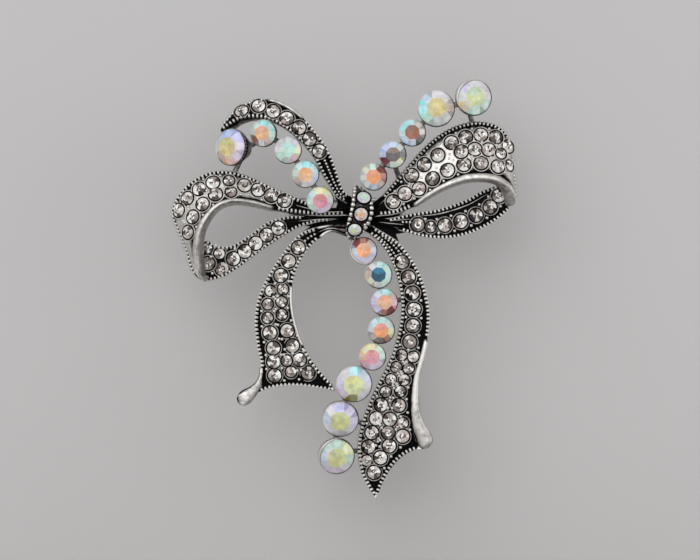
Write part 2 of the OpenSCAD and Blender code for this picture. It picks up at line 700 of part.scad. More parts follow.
module left_return_stones() {
    color("white") stones(left_return_line, left_return_rows);
}

module right_band_stones() {
    color("white") stones(right_band_line, right_band_rows);
}

module right_return_stones() {
    color("white") stones(right_return_line, right_return_rows);
}

module left_tail_stones() {
    color("white") stones(left_tail_line, left_tail_rows);
}

module right_tail_stones() {
    color("white") stones(right_tail_line, right_tail_rows);
}

module knot_stones() {
    color("honeydew") stones(knot_line, knot_rows, c = knot_crown_h);
}

module left_spray_collets() {
    color("silver") collets(left_spray, left_legs);
}

module right_spray_collets() {
    color("silver") collets(right_spray, right_legs);
}

module tail_spray_collets() {
    color("silver") collets(tail_spray, tail_legs);
}

// A solder pad under a ribbon's back, and a post from it to a height above the pin's axis
module pad(r, spot, h) {
    n = front(r, spot[0]);
    top = lay(r, spot[0], spot[1], -ribbon_t - solder_gap);
    foot = top - pad_t * n;
    rod(foot, top, pad_d);
    translate([foot[0], -h, foot[2]]) rotate([90, 0, 0])
        cylinder(h = -foot[1] - h + pad_t / 2, d = post_d);
}

// The hinge's U: a base on its pad and two ears drilled for the rivet
module hinge_bracket() {
    color("silver") difference() {
        union() {
            pad(right_band_line, hinge_spot, bracket_h + bracket_t / 2);
            translate([hinge_x - bracket_l / 2, -bracket_h - bracket_t, -ear_out])
                cube([bracket_l, bracket_t, 2 * ear_out]);
            for (z = [-ear_out, ear_in])
                translate([hinge_x, 0, z]) {
                    cylinder(h = ear_t, d = ear_d);
                    translate([-ear_d / 2, -bracket_h - bracket_t / 2, 0])
                        cube([ear_d, bracket_h + bracket_t / 2, ear_t]);
                }
        }
        translate([hinge_x, 0, -2 * ear_out])
            cylinder(h = 4 * ear_out, d = rivet_d + 2 * ear_clear);
    }
}

module hinge_rivet() {
    color("gainsboro") translate([hinge_x, 0, 0]) rotate_extrude() polygon([
        [0, -ear_out - rivet_head_h], [rivet_head_d / 2, -ear_out - rivet_head_h], [rivet_head_d / 2, -ear_out],
        [rivet_d / 2, -ear_out], [rivet_d / 2, ear_out], [rivet_head_d / 2, ear_out],
        [rivet_head_d / 2, ear_out + rivet_head_h], [0, ear_out + rivet_head_h]
    ]);
}

// The pin: an eye on the rivet, a stout root, a shank, and a tapered, sharpened tip in the catch
module pin_stem() {
    color("gainsboro") difference() {
        union() {
            translate([hinge_x, 0, -eye_h / 2]) cylinder(h = eye_h, d = eye_d);
            translate([hinge_x, 0, 0]) rotate([0, -90, 0]) rotate_extrude() polygon([
                [0, 0], [root_d / 2, 0], [root_d / 2, root_l], [shank_d / 2, root_l],
                [shank_d / 2, hinge_x - shank_end - taper_l], [tip_d / 2, hinge_x - shank_end],
                [tip_d / 2, hinge_x - tip_end], [point_d / 2, hinge_x - tip_end + point_l],
                [0, hinge_x - tip_end + point_l]
            ]);
        }
        translate([hinge_x, 0, -eye_h]) cylinder(h = 2 * eye_h, d = rivet_d + 2 * eye_clear);
    }
}

// The catch housing: a tube on its pad, open at the back for the pin
module catch_housing() {
    outer_r = housing_bore_d / 2 + housing_wall;
    color("silver") difference() {
        union() {
            pad(left_band_line, catch_spot, housing_bore_d / 2 + housing_wall / 2);
            translate([catch_x - housing_l / 2, 0, 0]) rotate([0, 90, 0])
                cylinder(h = housing_l, r = outer_r);
        }
        translate([catch_x - housing_l, 0, 0]) rotate([0, 90, 0])
            cylinder(h = 2 * housing_l, d = housing_bore_d);
        translate([catch_x - housing_l, 0, -mouth_w / 2])
            cube([2 * housing_l, 2 * outer_r, mouth_w]);
    }
}

// The lock: a slotted barrel that turns in the housing, with end collars and a thumb lever
module catch_lock() {
    half = lock_l / 2;
    color("gainsboro") difference() {
        union() {
            translate([catch_x, 0, 0]) rotate([0, 90, 0]) rotate_extrude() polygon([
                [0, -half], [collar_d / 2, -half], [collar_d / 2, -half + collar_t], [lock_r, -half + collar_t],
                [lock_r, half - collar_t], [collar_d / 2, half - collar_t], [collar_d / 2, half], [0, half]
            ]);
            translate([catch_x - half, 0, 0]) rotate([lever_angle, 0, 0]) {
                translate([0, lock_bore_d, -lever_w / 2])
                    cube([collar_t, lever_reach - lock_bore_d - lever_w / 2, lever_w]);
                translate([0, lever_reach - lever_w / 2, 0]) rotate([0, 90, 0])
                    cylinder(h = collar_t, d = lever_w);
            }
        }
        translate([catch_x - lock_l, 0, 0]) rotate([0, 90, 0])
            cylinder(h = 2 * lock_l, d = lock_bore_d);
        translate([catch_x - lock_l, 0, -slot_w / 2])
            cube([2 * lock_l, collar_d, slot_w]);
    }
}

function numbered(name, s) = [for (i = [1 : len(s[4])]) str(name, i)];
left_names = numbered("left_spray_stone_", left_spray);
right_names = numbered("right_spray_stone_", right_spray);
tail_names = numbered("tail_spray_stone_", tail_spray);

left_arch();
left_loop_band();
left_loop_return();
right_loop_band();
right_loop_return();
left_tail();
right_tail();
knot();
left_arch_stones();
left_band_stones();
left_return_stones();
right_band_stones();
right_return_stones();
left_tail_stones();
right_tail_stones();
knot_stones();
left_spray_collets();
right_spray_collets();
tail_spray_collets();
for (i = [0 : len(left_names) - 1])
    spray_stone(left_spray, i);
for (i = [0 : len(right_names) - 1])
    spray_stone(right_spray, i);
for (i = [0 : len(tail_names) - 1])
    spray_stone(tail_spray, i);
hinge_bracket();
hinge_rivet();
pin_stem();
catch_housing();
catch_lock();
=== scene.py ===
"""Ribbon-bow brooch: cast ribbons with beaded edges, cut stones in cups, a pin and a catch.

Shapes are worked out in millimetres in the CAD frame, X right, Y back and Z up, and made in metres.
"""

import logging
import math
import random
from dataclasses import dataclass, field
from enum import Enum

import bmesh
import bpy
import numpy as np
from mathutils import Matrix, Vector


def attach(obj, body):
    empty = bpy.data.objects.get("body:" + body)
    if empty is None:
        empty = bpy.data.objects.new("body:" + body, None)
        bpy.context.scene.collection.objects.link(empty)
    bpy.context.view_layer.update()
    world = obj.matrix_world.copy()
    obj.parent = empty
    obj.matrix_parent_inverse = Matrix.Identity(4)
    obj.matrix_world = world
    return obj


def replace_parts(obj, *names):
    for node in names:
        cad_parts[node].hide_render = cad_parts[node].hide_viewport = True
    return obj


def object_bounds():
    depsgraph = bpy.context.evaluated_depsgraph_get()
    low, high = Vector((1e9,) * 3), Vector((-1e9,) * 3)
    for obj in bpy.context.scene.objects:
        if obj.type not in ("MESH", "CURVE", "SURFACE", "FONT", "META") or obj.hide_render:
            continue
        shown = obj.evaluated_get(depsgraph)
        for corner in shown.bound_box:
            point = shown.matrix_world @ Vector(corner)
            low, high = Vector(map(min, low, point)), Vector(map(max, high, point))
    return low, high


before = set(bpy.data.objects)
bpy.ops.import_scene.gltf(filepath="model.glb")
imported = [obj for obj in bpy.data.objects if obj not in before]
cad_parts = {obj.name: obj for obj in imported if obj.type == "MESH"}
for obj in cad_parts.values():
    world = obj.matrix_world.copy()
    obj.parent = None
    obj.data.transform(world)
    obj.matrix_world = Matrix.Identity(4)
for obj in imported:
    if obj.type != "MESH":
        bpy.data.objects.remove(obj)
cad_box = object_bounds()

log = logging.getLogger("brooch")
MM = 0.001
BODY = "bow"
Vec = np.ndarray
Colour = tuple[float, float, float, float]
Shape = tuple[Vec, list[tuple[int, ...]]]
Place = tuple[float, float, float]
Stretch = tuple[float, float, float]
Tree = bpy.types.NodeTree
Socket = bpy.types.NodeSocket
Material = bpy.types.Material


def linear(code: str) -> Colour:
    """Turns an sRGB hex value into linear colour.

    Args:
        code: A hash sign and six hex digits.

    Returns:
        Red, green, blue and an alpha of 1.
    """
    parts = [int(code[i:i + 2], 16) / 255 for i in (1, 3, 5)]
    red, green, blue = [p / 12.92 if p <= 0.04045 else ((p + 0.055) / 1.055) ** 2.4 for p in parts]
    return red, green, blue, 1.0


def unit(v: Vec) -> Vec:
    """Scales a vector to length 1."""
    return v / np.linalg.norm(v)


def ease(x: float | Vec, low: float, high: float) -> float | Vec:
    """Rises smoothly from 0 at low to 1 at high."""
    t = np.clip((x - low) / (high - low), 0, 1)
    return t * t * (3 - 2 * t)


def set_inputs(tree: Tree, node: bpy.types.Node, inputs: dict) -> None:
    """Sets or links a node's inputs.

    Args:
        tree: The node's tree.
        node: The node.
        inputs: A value, or another node's output, for each named or numbered input.
    """
    for key, value in inputs.items():
        if isinstance(value, Socket):
            tree.links.new(value, node.inputs[key])
        else:
            node.inputs[key].default_value = value


def add_node(tree: Tree, kind: str, inputs: dict | None = None, out: int | str = 0,
             **settings: str) -> Socket:
    """Adds one shader node, sets it up and links it.

    Args:
        tree: The node tree that takes the node.
        kind: The node's type name.
        inputs: A value, or another node's output, for each named or numbered input.
        out: The name or number of the output that is wanted.
        settings: Values of the node's own properties.

    Returns:
        The wanted output.
    """
    node = tree.nodes.new(kind)
    for key, value in settings.items():
        setattr(node, key, value)
    set_inputs(tree, node, inputs or {})
    return node.outputs[out]


@dataclass(frozen=True)
class Finish:
    """What all finishes share: a named material with one principled shader."""

    name: str

    def sockets(self, tree: Tree, coords: Socket) -> dict:
        """Works out the shader's inputs.

        Args:
            tree: The material's nodes.
            coords: The place on the piece.

        Returns:
            A value, or a node's output, for each named input.
        """
        raise NotImplementedError

    def material(self) -> Material:
        """Makes the material.

        Returns:
            The material.
        """
        material = bpy.data.materials.new(self.name)
        material.use_nodes = True
        tree = material.node_tree
        coords = add_node(tree, "ShaderNodeTexCoord", out="Object")
        set_inputs(tree, tree.nodes["Principled BSDF"], self.sockets(tree, coords))
        return material


@dataclass(frozen=True)
class AntiquedSilver(Finish):
    """Cast white metal, silver plated, blackened and then polished back."""

    # To the eye: bright, slightly worn silver on what stands up, and a dull black in the recesses.
    # The grain of the real casting is too fine to show, so it is drawn coarser.
    name: str = "silver_plate_antiqued"
    silver: str = "#DEDBD7"
    oxide: str = "#0B0A0A"
    polished_roughness: float = 0.33
    oxide_roughness: float = 0.55
    oxide_metallic: float = 0.93
    wear_mm: float = 0.7
    wear: float = 0.14
    cast_grain_mm: float = 0.16
    grain_depth_mm: float = 0.03
    patina_and_shade: float | None = None

    def sockets(self, tree: Tree, coords: Socket) -> dict:
        """Mixes silver and oxide by the share of black, from the piece's patina and painted shade, or from
        one set value.

        Args:
            tree: The material's nodes.
            coords: The place on the piece.

        Returns:
            The shader's inputs.
        """
        worn = add_node(tree, "ShaderNodeTexNoise", {
            "Vector": coords, "Scale": 1 / (self.wear_mm * MM), "Detail": 4.0, "Roughness": 0.6})
        shift = add_node(tree, "ShaderNodeMapRange", {
            "Value": worn, "From Min": 0.25, "From Max": 0.75, "To Min": -self.wear, "To Max": self.wear})
        dark = self.patina_and_shade
        if dark is None:
            dark = add_node(tree, "ShaderNodeAttribute", out="Fac", attribute_name="patina_and_shade")
        summed = add_node(tree, "ShaderNodeMath", {0: dark, 1: shift}, operation="ADD")
        black = add_node(tree, "ShaderNodeMapRange", {"Value": summed, "From Min": 0.25, "From Max": 0.8},
                         interpolation_type="SMOOTHSTEP")
        colours = {0: black, 6: linear(self.silver), 7: linear(self.oxide)}
        grain = add_node(tree, "ShaderNodeTexNoise", {
            "Vector": coords, "Scale": 1 / (self.cast_grain_mm * MM), "Detail": 3.0})
        return {
            "Base Color": add_node(tree, "ShaderNodeMix", colours, 2, data_type="RGBA"),
            "Roughness": add_node(tree, "ShaderNodeMapRange", {
                "Value": black, "To Min": self.polished_roughness, "To Max": self.oxide_roughness}),
            "Metallic": add_node(tree, "ShaderNodeMapRange", {
                "Value": black, "To Min": 1.0, "To Max": self.oxide_metallic}),
            "Normal": add_node(tree, "ShaderNodeBump", {
                "Height": grain, "Strength": 0.25, "Distance": self.grain_depth_mm * MM})}


@dataclass(frozen=True)
class DrawnSteel(Finish):
    """Steel wire, drawn bright through a die."""

    # To the eye: fine lines along the pull, which stretch the highlights across the wire.
    # The real lines are too fine to show, so they are drawn coarser.
    name: str = "steel_wire_drawn"
    steel: str = "#C4C4C6"
    shade: str = "#8E8E92"
    line_mm: float = 0.08
    run_mm: float = 4.0
    line_depth_mm: float = 0.01

    def sockets(self, tree: Tree, coords: Socket) -> dict:
        """Draws lines along the pin.

        Args:
            tree: The material's nodes.
            coords: The place on the piece.

        Returns:
            The shader's inputs.
        """
        run, line = 1 / (self.run_mm * MM), 1 / (self.line_mm * MM)
        stretched = add_node(tree, "ShaderNodeMapping", {"Vector": coords, "Scale": (run, line, line)})
        lines = add_node(tree, "ShaderNodeTexNoise", {"Vector": stretched, "Scale": 1.0, "Detail": 2.0})
        colours = {0: lines, 6: linear(self.steel), 7: linear(self.shade)}
        return {
            "Base Color": add_node(tree, "ShaderNodeMix", colours, 2, data_type="RGBA"),
            "Roughness": add_node(tree, "ShaderNodeMapRange", {
                "Value": lines, "To Min": 0.18, "To Max": 0.38}),
            "Metallic": 1.0,
            "Normal": add_node(tree, "ShaderNodeBump", {
                "Height": lines, "Strength": 0.2, "Distance": self.line_depth_mm * MM})}


@dataclass(frozen=True)
class FoiledGlass(Finish):
    """Crystal glass, pressed, polished and foiled at the back, with or without a thin iridescent coat."""

    # To the eye: each facet throws back its tone, broken up by the light inside, under a wet gloss. On a
    # clear stone the facets' tones are painted reflections and glints, and on all stones the play of light is
    # painted.
    roughness: float = 0.07
    ior: float = 1.55
    fire_mm: float = 0.5
    fire: float = 0.25
    cloud: str = "#E6E4E6"
    cloud_mm: float = 1.5
    clouded: float = 0.0

    def sockets(self, tree: Tree, coords: Socket) -> dict:
        """Takes the facets' tones, with a painted play of light in each and pale clouds over them.

        Args:
            tree: The material's nodes.
            coords: The place on the piece.

        Returns:
            The shader's inputs.
        """
        tone = add_node(tree, "ShaderNodeAttribute", attribute_name="tone")
        # Painted play of light: each facet's tone is brightened and dimmed in patches.
        play = add_node(tree, "ShaderNodeTexNoise", {
            "Vector": coords, "Scale": 1 / (self.fire_mm * MM), "Detail": 2.0})
        lit = add_node(tree, "ShaderNodeMapRange", {
            "Value": play, "From Min": 0.3, "From Max": 0.7,
            "To Min": 1 - self.fire, "To Max": 1 + self.fire})
        clouds = add_node(tree, "ShaderNodeTexNoise", {
            "Vector": coords, "Scale": 1 / (self.cloud_mm * MM), "Detail": 3.0})
        share = add_node(tree, "ShaderNodeMapRange", {
            "Value": clouds, "From Min": 0.3, "From Max": 0.7,
            "To Min": 0.4 * self.clouded, "To Max": 1.6 * self.clouded})
        reach = tone.node.outputs["Alpha"]
        held = add_node(tree, "ShaderNodeMath", {0: share, 1: reach}, operation="MULTIPLY")
        colours = {0: held, 6: tone, 7: linear(self.cloud)}
        pale = add_node(tree, "ShaderNodeMix", colours, 2, data_type="RGBA")
        colour = add_node(tree, "ShaderNodeVectorMath", {0: pale, "Scale": lit}, operation="SCALE")
        return {"Base Color": colour, "Roughness": self.roughness, "IOR": self.ior}


@dataclass(frozen=True)
class MattPaper(Finish):
    """Uncoated grey paper in a round sheet."""

    # To the eye: a plain soft grey without gloss, which fades out at the rim.
    # The sheet is clear from behind and to the lamps, so it hides nothing and casts no shade.
    name: str = "paper_matt"
    grey: str = "#C7C5C4"
    radius: float = 110 * MM
    fade_from: float = 0.55

    def sockets(self, tree: Tree, coords: Socket) -> dict:
        """Fades the sheet by the distance from its middle.

        Args:
            tree: The material's nodes.
            coords: The place on the sheet.

        Returns:
            The shader's inputs.
        """
        away = add_node(tree, "ShaderNodeVectorMath", {0: coords}, "Value", operation="LENGTH")
        fade = add_node(tree, "ShaderNodeMapRange", {
            "Value": away, "From Min": self.fade_from * self.radius, "From Max": self.radius,
            "To Min": 1.0, "To Max": 0.0}, interpolation_type="SMOOTHSTEP")
        behind = add_node(tree, "ShaderNodeNewGeometry", out="Backfacing")
        lamp = add_node(tree, "ShaderNodeLightPath", out="Is Shadow Ray")
        hidden = add_node(tree, "ShaderNodeMath", {0: behind, 1: lamp}, operation="MAXIMUM")
        shown = add_node(tree, "ShaderNodeMath", {0: fade, 1: hidden}, operation="SUBTRACT")
        return {"Base Color": linear(self.grey), "Roughness": 0.9, "Specular IOR Level": 0.0,
                "Alpha": add_node(tree, "ShaderNodeClamp", {"Value": shown})}


class Tint(Enum):
    """Colours that the iridescent coat throws back."""

    MINT = "#BDE9D4"
    AQUA = "#9DE6E4"
    CYAN = "#84EFF5"
    SKY = "#BCD5EE"
    BLUE = "#9DB8F4"
    IRIS = "#B4B7F7"
    LILAC = "#CBC3E6"
    ORCHID = "#DDC3E4"
    PINK = "#E08FA3"
    CORAL = "#EC8C6C"
    ORANGE = "#F5994A"
    PEACH = "#E9B27C"
    GOLD = "#DBC67C"
    YELLOW = "#F2E98C"
    LIME = "#D9E2A2"
    KHAKI = "#CDCF88"
    OLIVE = "#8A8524"
    RUST = "#9C5A40"
    WINE = "#6E1824"
    TEAL = "#00506A"
    PEACOCK = "#0090B8"
    PEARL = "#DDDBE0"
    MIST = "#C2CBC8"
    SMOKE = "#6A625F"
    TAN = "#BFA08C"


class Ice(Enum):
    """Tones that a clear foiled stone throws back, painted on its facets as reflections and glints."""

    WHITE = "#FBF9F5"
    BLUSH = "#E6E0DA"
    ROSE = "#CBC0B8"
    TAUPE = "#968B83"
    SMOKE = "#544C47"
    JET = "#1B1816"


class Facet(Enum):
    """Kinds of facet on a cut stone."""

    TABLE = "table"
    RING = "ring"
    CROWN = "crown"
    STAR = "star"
    GIRDLE = "girdle"
    PAVILION = "pavilion"


@dataclass(frozen=True)
class Coat:
    """Iridescent colours of one stone.

    They are its table, the flash that is painted as a highlight in the table's upper part, and its crown from
    the top round to the right.
    Shimmer is how far the light of its facets differs, and cloud how much of the clouds they take.
    """

    table: Tint
    flash: Tint
    crown: tuple[Tint, ...]
    flash_sectors: tuple[int, ...] = (7, 0, 1)
    shimmer: tuple[float, float] = (0.8, 1.08)
    crown_cloud: float = 0.8
    table_cloud: float = 0.3

    def tone(self, facet: Facet, sector: int, luck: random.Random) -> Colour:
        """Picks the colour of one facet.

        Args:
            facet: The kind of facet.
            sector: The facet's place round the stone, from the top to the right.
            luck: The seeded source of small differences.

        Returns:
            The facet's linear colour, and as its alpha how far clouds may cover it.
        """
        if facet in (Facet.TABLE, Facet.RING):
            # The upper sectors of the table take the flash, a painted highlight.
            tints = (self.table, self.flash if sector in self.flash_sectors else self.table)
        elif facet is Facet.CROWN:
            tints = (self.crown[sector],)
        elif facet is Facet.STAR:
            beside = self.crown[(sector + 1) % len(self.crown)]
            tints = (self.crown[sector], beside, Tint.SMOKE)[:luck.randint(1, 3)]
        else:
            tints = (Tint.SMOKE,)
        red, green, blue, _ = np.mean([linear(t.value) for t in tints], axis=0) * luck.uniform(*self.shimmer)
        pale = min(self.crown_cloud * (red + green + blue), 1.0)
        return red, green, blue, pale if facet is Facet.CROWN else self.table_cloud * pale * pale


def coat(names: str) -> Coat:
    """Reads a coat from the names of its tints.

    Args:
        names: The tints of the table, the flash and the crown's sectors, in that order.

    Returns:
        The coat.
    """
    table, flash, *crown = [Tint[name.upper()] for name in names.split()]
    return Coat(table, flash, tuple(crown))


# How often each painted reflection tone comes on each kind of facet of a clear stone.
ICE_TOP: dict[Ice, int] = {Ice.WHITE: 5, Ice.BLUSH: 3, Ice.ROSE: 3, Ice.TAUPE: 4, Ice.SMOKE: 5, Ice.JET: 4}
ICE_SHARES: dict[Facet, dict[Ice, int]] = {
    Facet.TABLE: ICE_TOP,
    Facet.RING: ICE_TOP,
    Facet.CROWN: {Ice.WHITE: 3, Ice.BLUSH: 3, Ice.ROSE: 3, Ice.TAUPE: 4, Ice.SMOKE: 4, Ice.JET: 1},
    Facet.GIRDLE: {Ice.TAUPE: 2, Ice.SMOKE: 2, Ice.JET: 2},
    Facet.PAVILION: {Ice.SMOKE: 1},
}


def ice_tone(facet: Facet, luck: random.Random) -> Colour:
    """Picks the tone of one facet of a clear stone, a painted reflection.

    Args:
        facet: The kind of facet.
        luck: The seeded source of the choice.

    Returns:
        The facet's linear colour.
    """
    shares = ICE_SHARES[facet]
    return linear(luck.choices(list(shares), list(shares.values()))[0].value)


@dataclass
class MeshStock:
    """Points and faces of one piece as it grows, in millimetres."""

    points: list[Vec] = field(default_factory=list)
    faces: list[tuple[int, ...]] = field(default_factory=list)
    patina_and_shade: list[float] = field(default_factory=list)
    tones: list[Colour] = field(default_factory=list)
    count: int = 0

    def add(self, points: Vec, faces: list[tuple[int, ...]], patina_and_shade: Vec | float | None = None,
            tones: list[Colour] | None = None) -> None:
        """Adds one shape.

        Args:
            points: The shape's points, one to a row.
            faces: The shape's faces, as places in its own points.
            patina_and_shade: The share of black at each point, or at all of them, which is patina and, on cup
                lips and webs, painted shade and highlight.
            tones: The colour of each face.
        """
        self.faces += [tuple(i + self.count for i in f) for f in faces]
        self.points.append(points)
        self.count += len(points)
        if patina_and_shade is not None:
            self.patina_and_shade += np.broadcast_to(patina_and_shade, len(points)).tolist()
        self.tones += tones or []

    def piece(self, name: str, material: Material, smooth: bool) -> bpy.types.Object:
        """Makes the Blender object, which rides on the bow.

        Args:
            name: The piece's name.
            material: The piece's finish.
            smooth: True for rounded forms, False for facets.

        Returns:
            The object.
        """
        mesh = bpy.data.meshes.new(name)
        mesh.from_pydata((np.vstack(self.points) * MM).tolist(), [], self.faces)
        if self.tones:
            layer = mesh.attributes.new("tone", "FLOAT_COLOR", "CORNER")
            corners = [self.tones[i] for i, f in enumerate(self.faces) for _ in f]
            layer.data.foreach_set("color", np.array(corners, np.float32).ravel())
        # The share of black is patina, and on cup lips and webs also painted shade and highlight.
        if self.patina_and_shade:
            layer = mesh.attributes.new("patina_and_shade", "FLOAT", "POINT")
            layer.data.foreach_set("value", np.array(self.patina_and_shade, np.float32))
        work = bmesh.new()
        work.from_mesh(mesh)
        bmesh.ops.recalc_face_normals(work, faces=work.faces)
        work.to_mesh(mesh)
        work.free()
        mesh.polygons.foreach_set("use_smooth", [smooth] * len(mesh.polygons))
        mesh.materials.append(material)
        piece = bpy.data.objects.new(name, mesh)
        bpy.context.scene.collection.objects.link(piece)
        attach(piece, BODY)
        log.info("%s: %d points", name, self.count)
        return piece


@dataclass(frozen=True)
class Bow:
    """Overall sizes of the bow in millimetres, and the grid on which its front view is drawn."""

    width: float = 53.5
    height: float = 65.3
    drawn_w: float = 345.0
    drawn_h: float = 421.0
    root_h: float = 4.6
    loop_rise: float = 2.0
    ribbon_t: float = 1.4
    rim_w: float = 0.5
    rim_h: float = 0.4
    rim_limit: float = 0.36
    stone_gap: float = 0.1

    def place(self, across: float, up: float, share: float) -> Vec:
        """Turns a grid place and a share of the loop's rise into millimetres."""
        x, z = across * self.width / self.drawn_w, up * self.height / self.drawn_h
        return np.array([x, -self.rise(share), z])

    def rise(self, share: float) -> float:
        """Gives the height over the pin's axis for a share of the loop's rise."""
        return self.root_h + share * self.loop_rise


BOW = Bow()
# Diameters of the stones, in millimetres.
PAVE_D = 2.0
SMALL_D = 1.6
KNOT_STONE_D = 2.0
MID_D = 4.3
LARGE_D = 5.75


@dataclass(frozen=True)
class Section:
    """One cut across a ribbon: its edges, run and front, where its rims end, and how far it bows back."""

    a: Vec
    b: Vec
    along: Vec
    front: Vec
    ends: tuple[float, float]
    bow: float

    @property
    def width(self) -> float:
        """Distance between the two edges."""
        return float(np.linalg.norm(self.b - self.a))

    def lay(self, v: float | Vec, h: float | Vec) -> Vec:
        """Places points on the section.

        Args:
            v: Shares of the width, from the first edge.
            h: Heights over the straight line between the edges.

        Returns:
            One point, or one to a row.
        """
        v = np.asarray(v, float)[..., None]
        h = np.asarray(h, float)[..., None]
        return self.a + (self.b - self.a) * v - 4 * v * (1 - v) * self.bow * self.along + h * self.front

    def crown(self, v: float | Vec, rise: float) -> float | Vec:
        """Gives the field's height at a share of the width."""
        f = (v - self.ends[0]) / (self.ends[1] - self.ends[0])
        return 4 * rise * f * (1 - f)


class Line:
    """Course of a ribbon through its stations, from the knot outwards."""

    def __init__(self, *stations: tuple[float, ...]) -> None:
        """Takes the stations.

        Args:
            stations: For each, across, up and share of rise at the first and at the second edge. Where they
                aren't plain, the widths of the two rims in rim widths and the bow in grid steps follow.
        """
        self.stations = np.array([s if len(s) == 9 else (*s, 1, 1, 0) for s in stations], float)
        self.last = len(stations) - 1
        middle = self.last / 2
        self.hand = 1 if np.cross(self.along(middle), self.across(middle))[1] < 0 else -1

    def station(self, u: float) -> Vec:
        """Reads the smooth course, a cubic curve through the stations.

        Args:
            u: The place along it, in stations.

        Returns:
            The numbers of a station there.
        """
        s, n = self.stations, self.last
        i = min(max(math.floor(u), 0), n - 1)
        before = s[i - 1] if i > 0 else 2 * s[0] - s[1]
        after = s[i + 2] if i < n - 1 else 2 * s[n] - s[n - 1]
        t = u - i
        return 0.5 * (2 * s[i] + (s[i + 1] - before) * t
                      + (2 * before - 5 * s[i] + 4 * s[i + 1] - after) * t * t
                      + (3 * s[i] - before - 3 * s[i + 1] + after) * t ** 3)

    def edge(self, u: float, k: int) -> Vec:
        """Gives the point on edge 0 or 1."""
        return BOW.place(*self.station(u)[3 * k:3 * k + 3])

    def across(self, u: float) -> Vec:
        """Gives the way from the first edge to the second."""
        return self.edge(u, 1) - self.edge(u, 0)

    def along(self, u: float, step: float = 0.05) -> Vec:
        """Gives the ribbon's run."""
        ahead = self.edge(u + step, 0) + self.edge(u + step, 1)
        return unit(ahead - self.edge(u - step, 0) - self.edge(u - step, 1))

    def at(self, u: float) -> Section:
        """Cuts the ribbon.

        Args:
            u: The place along it, in stations.

        Returns:
            The section there.
        """
        s = self.station(u)
        a, b, along = self.edge(u, 0), self.edge(u, 1), self.along(u)
        width = np.linalg.norm(b - a)
        rims = [min(BOW.rim_w * s[6 + k] / width, BOW.rim_limit) for k in (0, 1)]
        front = self.hand * unit(np.cross(along, b - a))
        return Section(a, b, along, front, (rims[0], 1 - rims[1]), s[8] * BOW.height / BOW.drawn_h)


def running_length(spots: Vec) -> Vec:
    """Gives the length along a course of points, from its start to each of them."""
    return np.concatenate([[0.0], np.cumsum(np.linalg.norm(np.diff(spots, axis=0), axis=1))])


@dataclass(frozen=True)
class Seat:
    """Place, facing and diameter of one stone."""

    place: Vec
    facing: Vec
    d: float

    def axes(self, spin: float = 0.0) -> Vec:
        """Gives the stone's own directions.

        Args:
            spin: The angle that turns it about its outward direction.

        Returns:
            Its right, up and outward directions, one to a row.
        """
        up = unit(np.array([0.0, 0.0, 1.0]) - self.facing[2] * self.facing)
        right = np.cross(up, self.facing)
        c, s = math.cos(spin), math.sin(spin)
        return np.array([c * right + s * up, c * up - s * right, self.facing])


@dataclass(frozen=True)
class Row:
    """A row of small stones: most stones, first and last place along and across the ribbon, and diameter."""

    count: int
    u0: float
    u1: float
    v0: float
    v1: float
    d: float = PAVE_D
    samples: int = 25
    slack: float = 0.01

    def seats(self, line: Line, crown_h: float) -> list[Seat]:
        """Spaces the stones evenly along the row, as many as fit.

        Args:
            line: The ribbon's course.
            crown_h: The rise of the ribbon's field.

        Returns:
            A seat for each stone.
        """
        def cut(t: float) -> tuple[Section, float]:
            """Gives the section, and the share of its width, at a share of the row."""
            return line.at(self.u0 + (self.u1 - self.u0) * t), self.v0 + (self.v1 - self.v0) * t

        shares = np.linspace(0, 1, self.samples)
        run = running_length(np.array([section.lay(v, 0) for section, v in map(cut, shares)]))
        count = min(self.count, math.floor(run[-1] / (self.d + BOW.stone_gap) + self.slack) + 1)
        where = [0.5] if count < 2 else np.interp(np.arange(count) * run[-1] / (count - 1), run, shares)
        return [Seat(section.lay(v, section.crown(v, crown_h)), section.front, self.d)
                for section, v in map(cut, where)]


def lone(u: float, v: float, d: float = PAVE_D) -> Row:
    """Gives a row of one stone."""
    return Row(1, u, u, v, v, d)


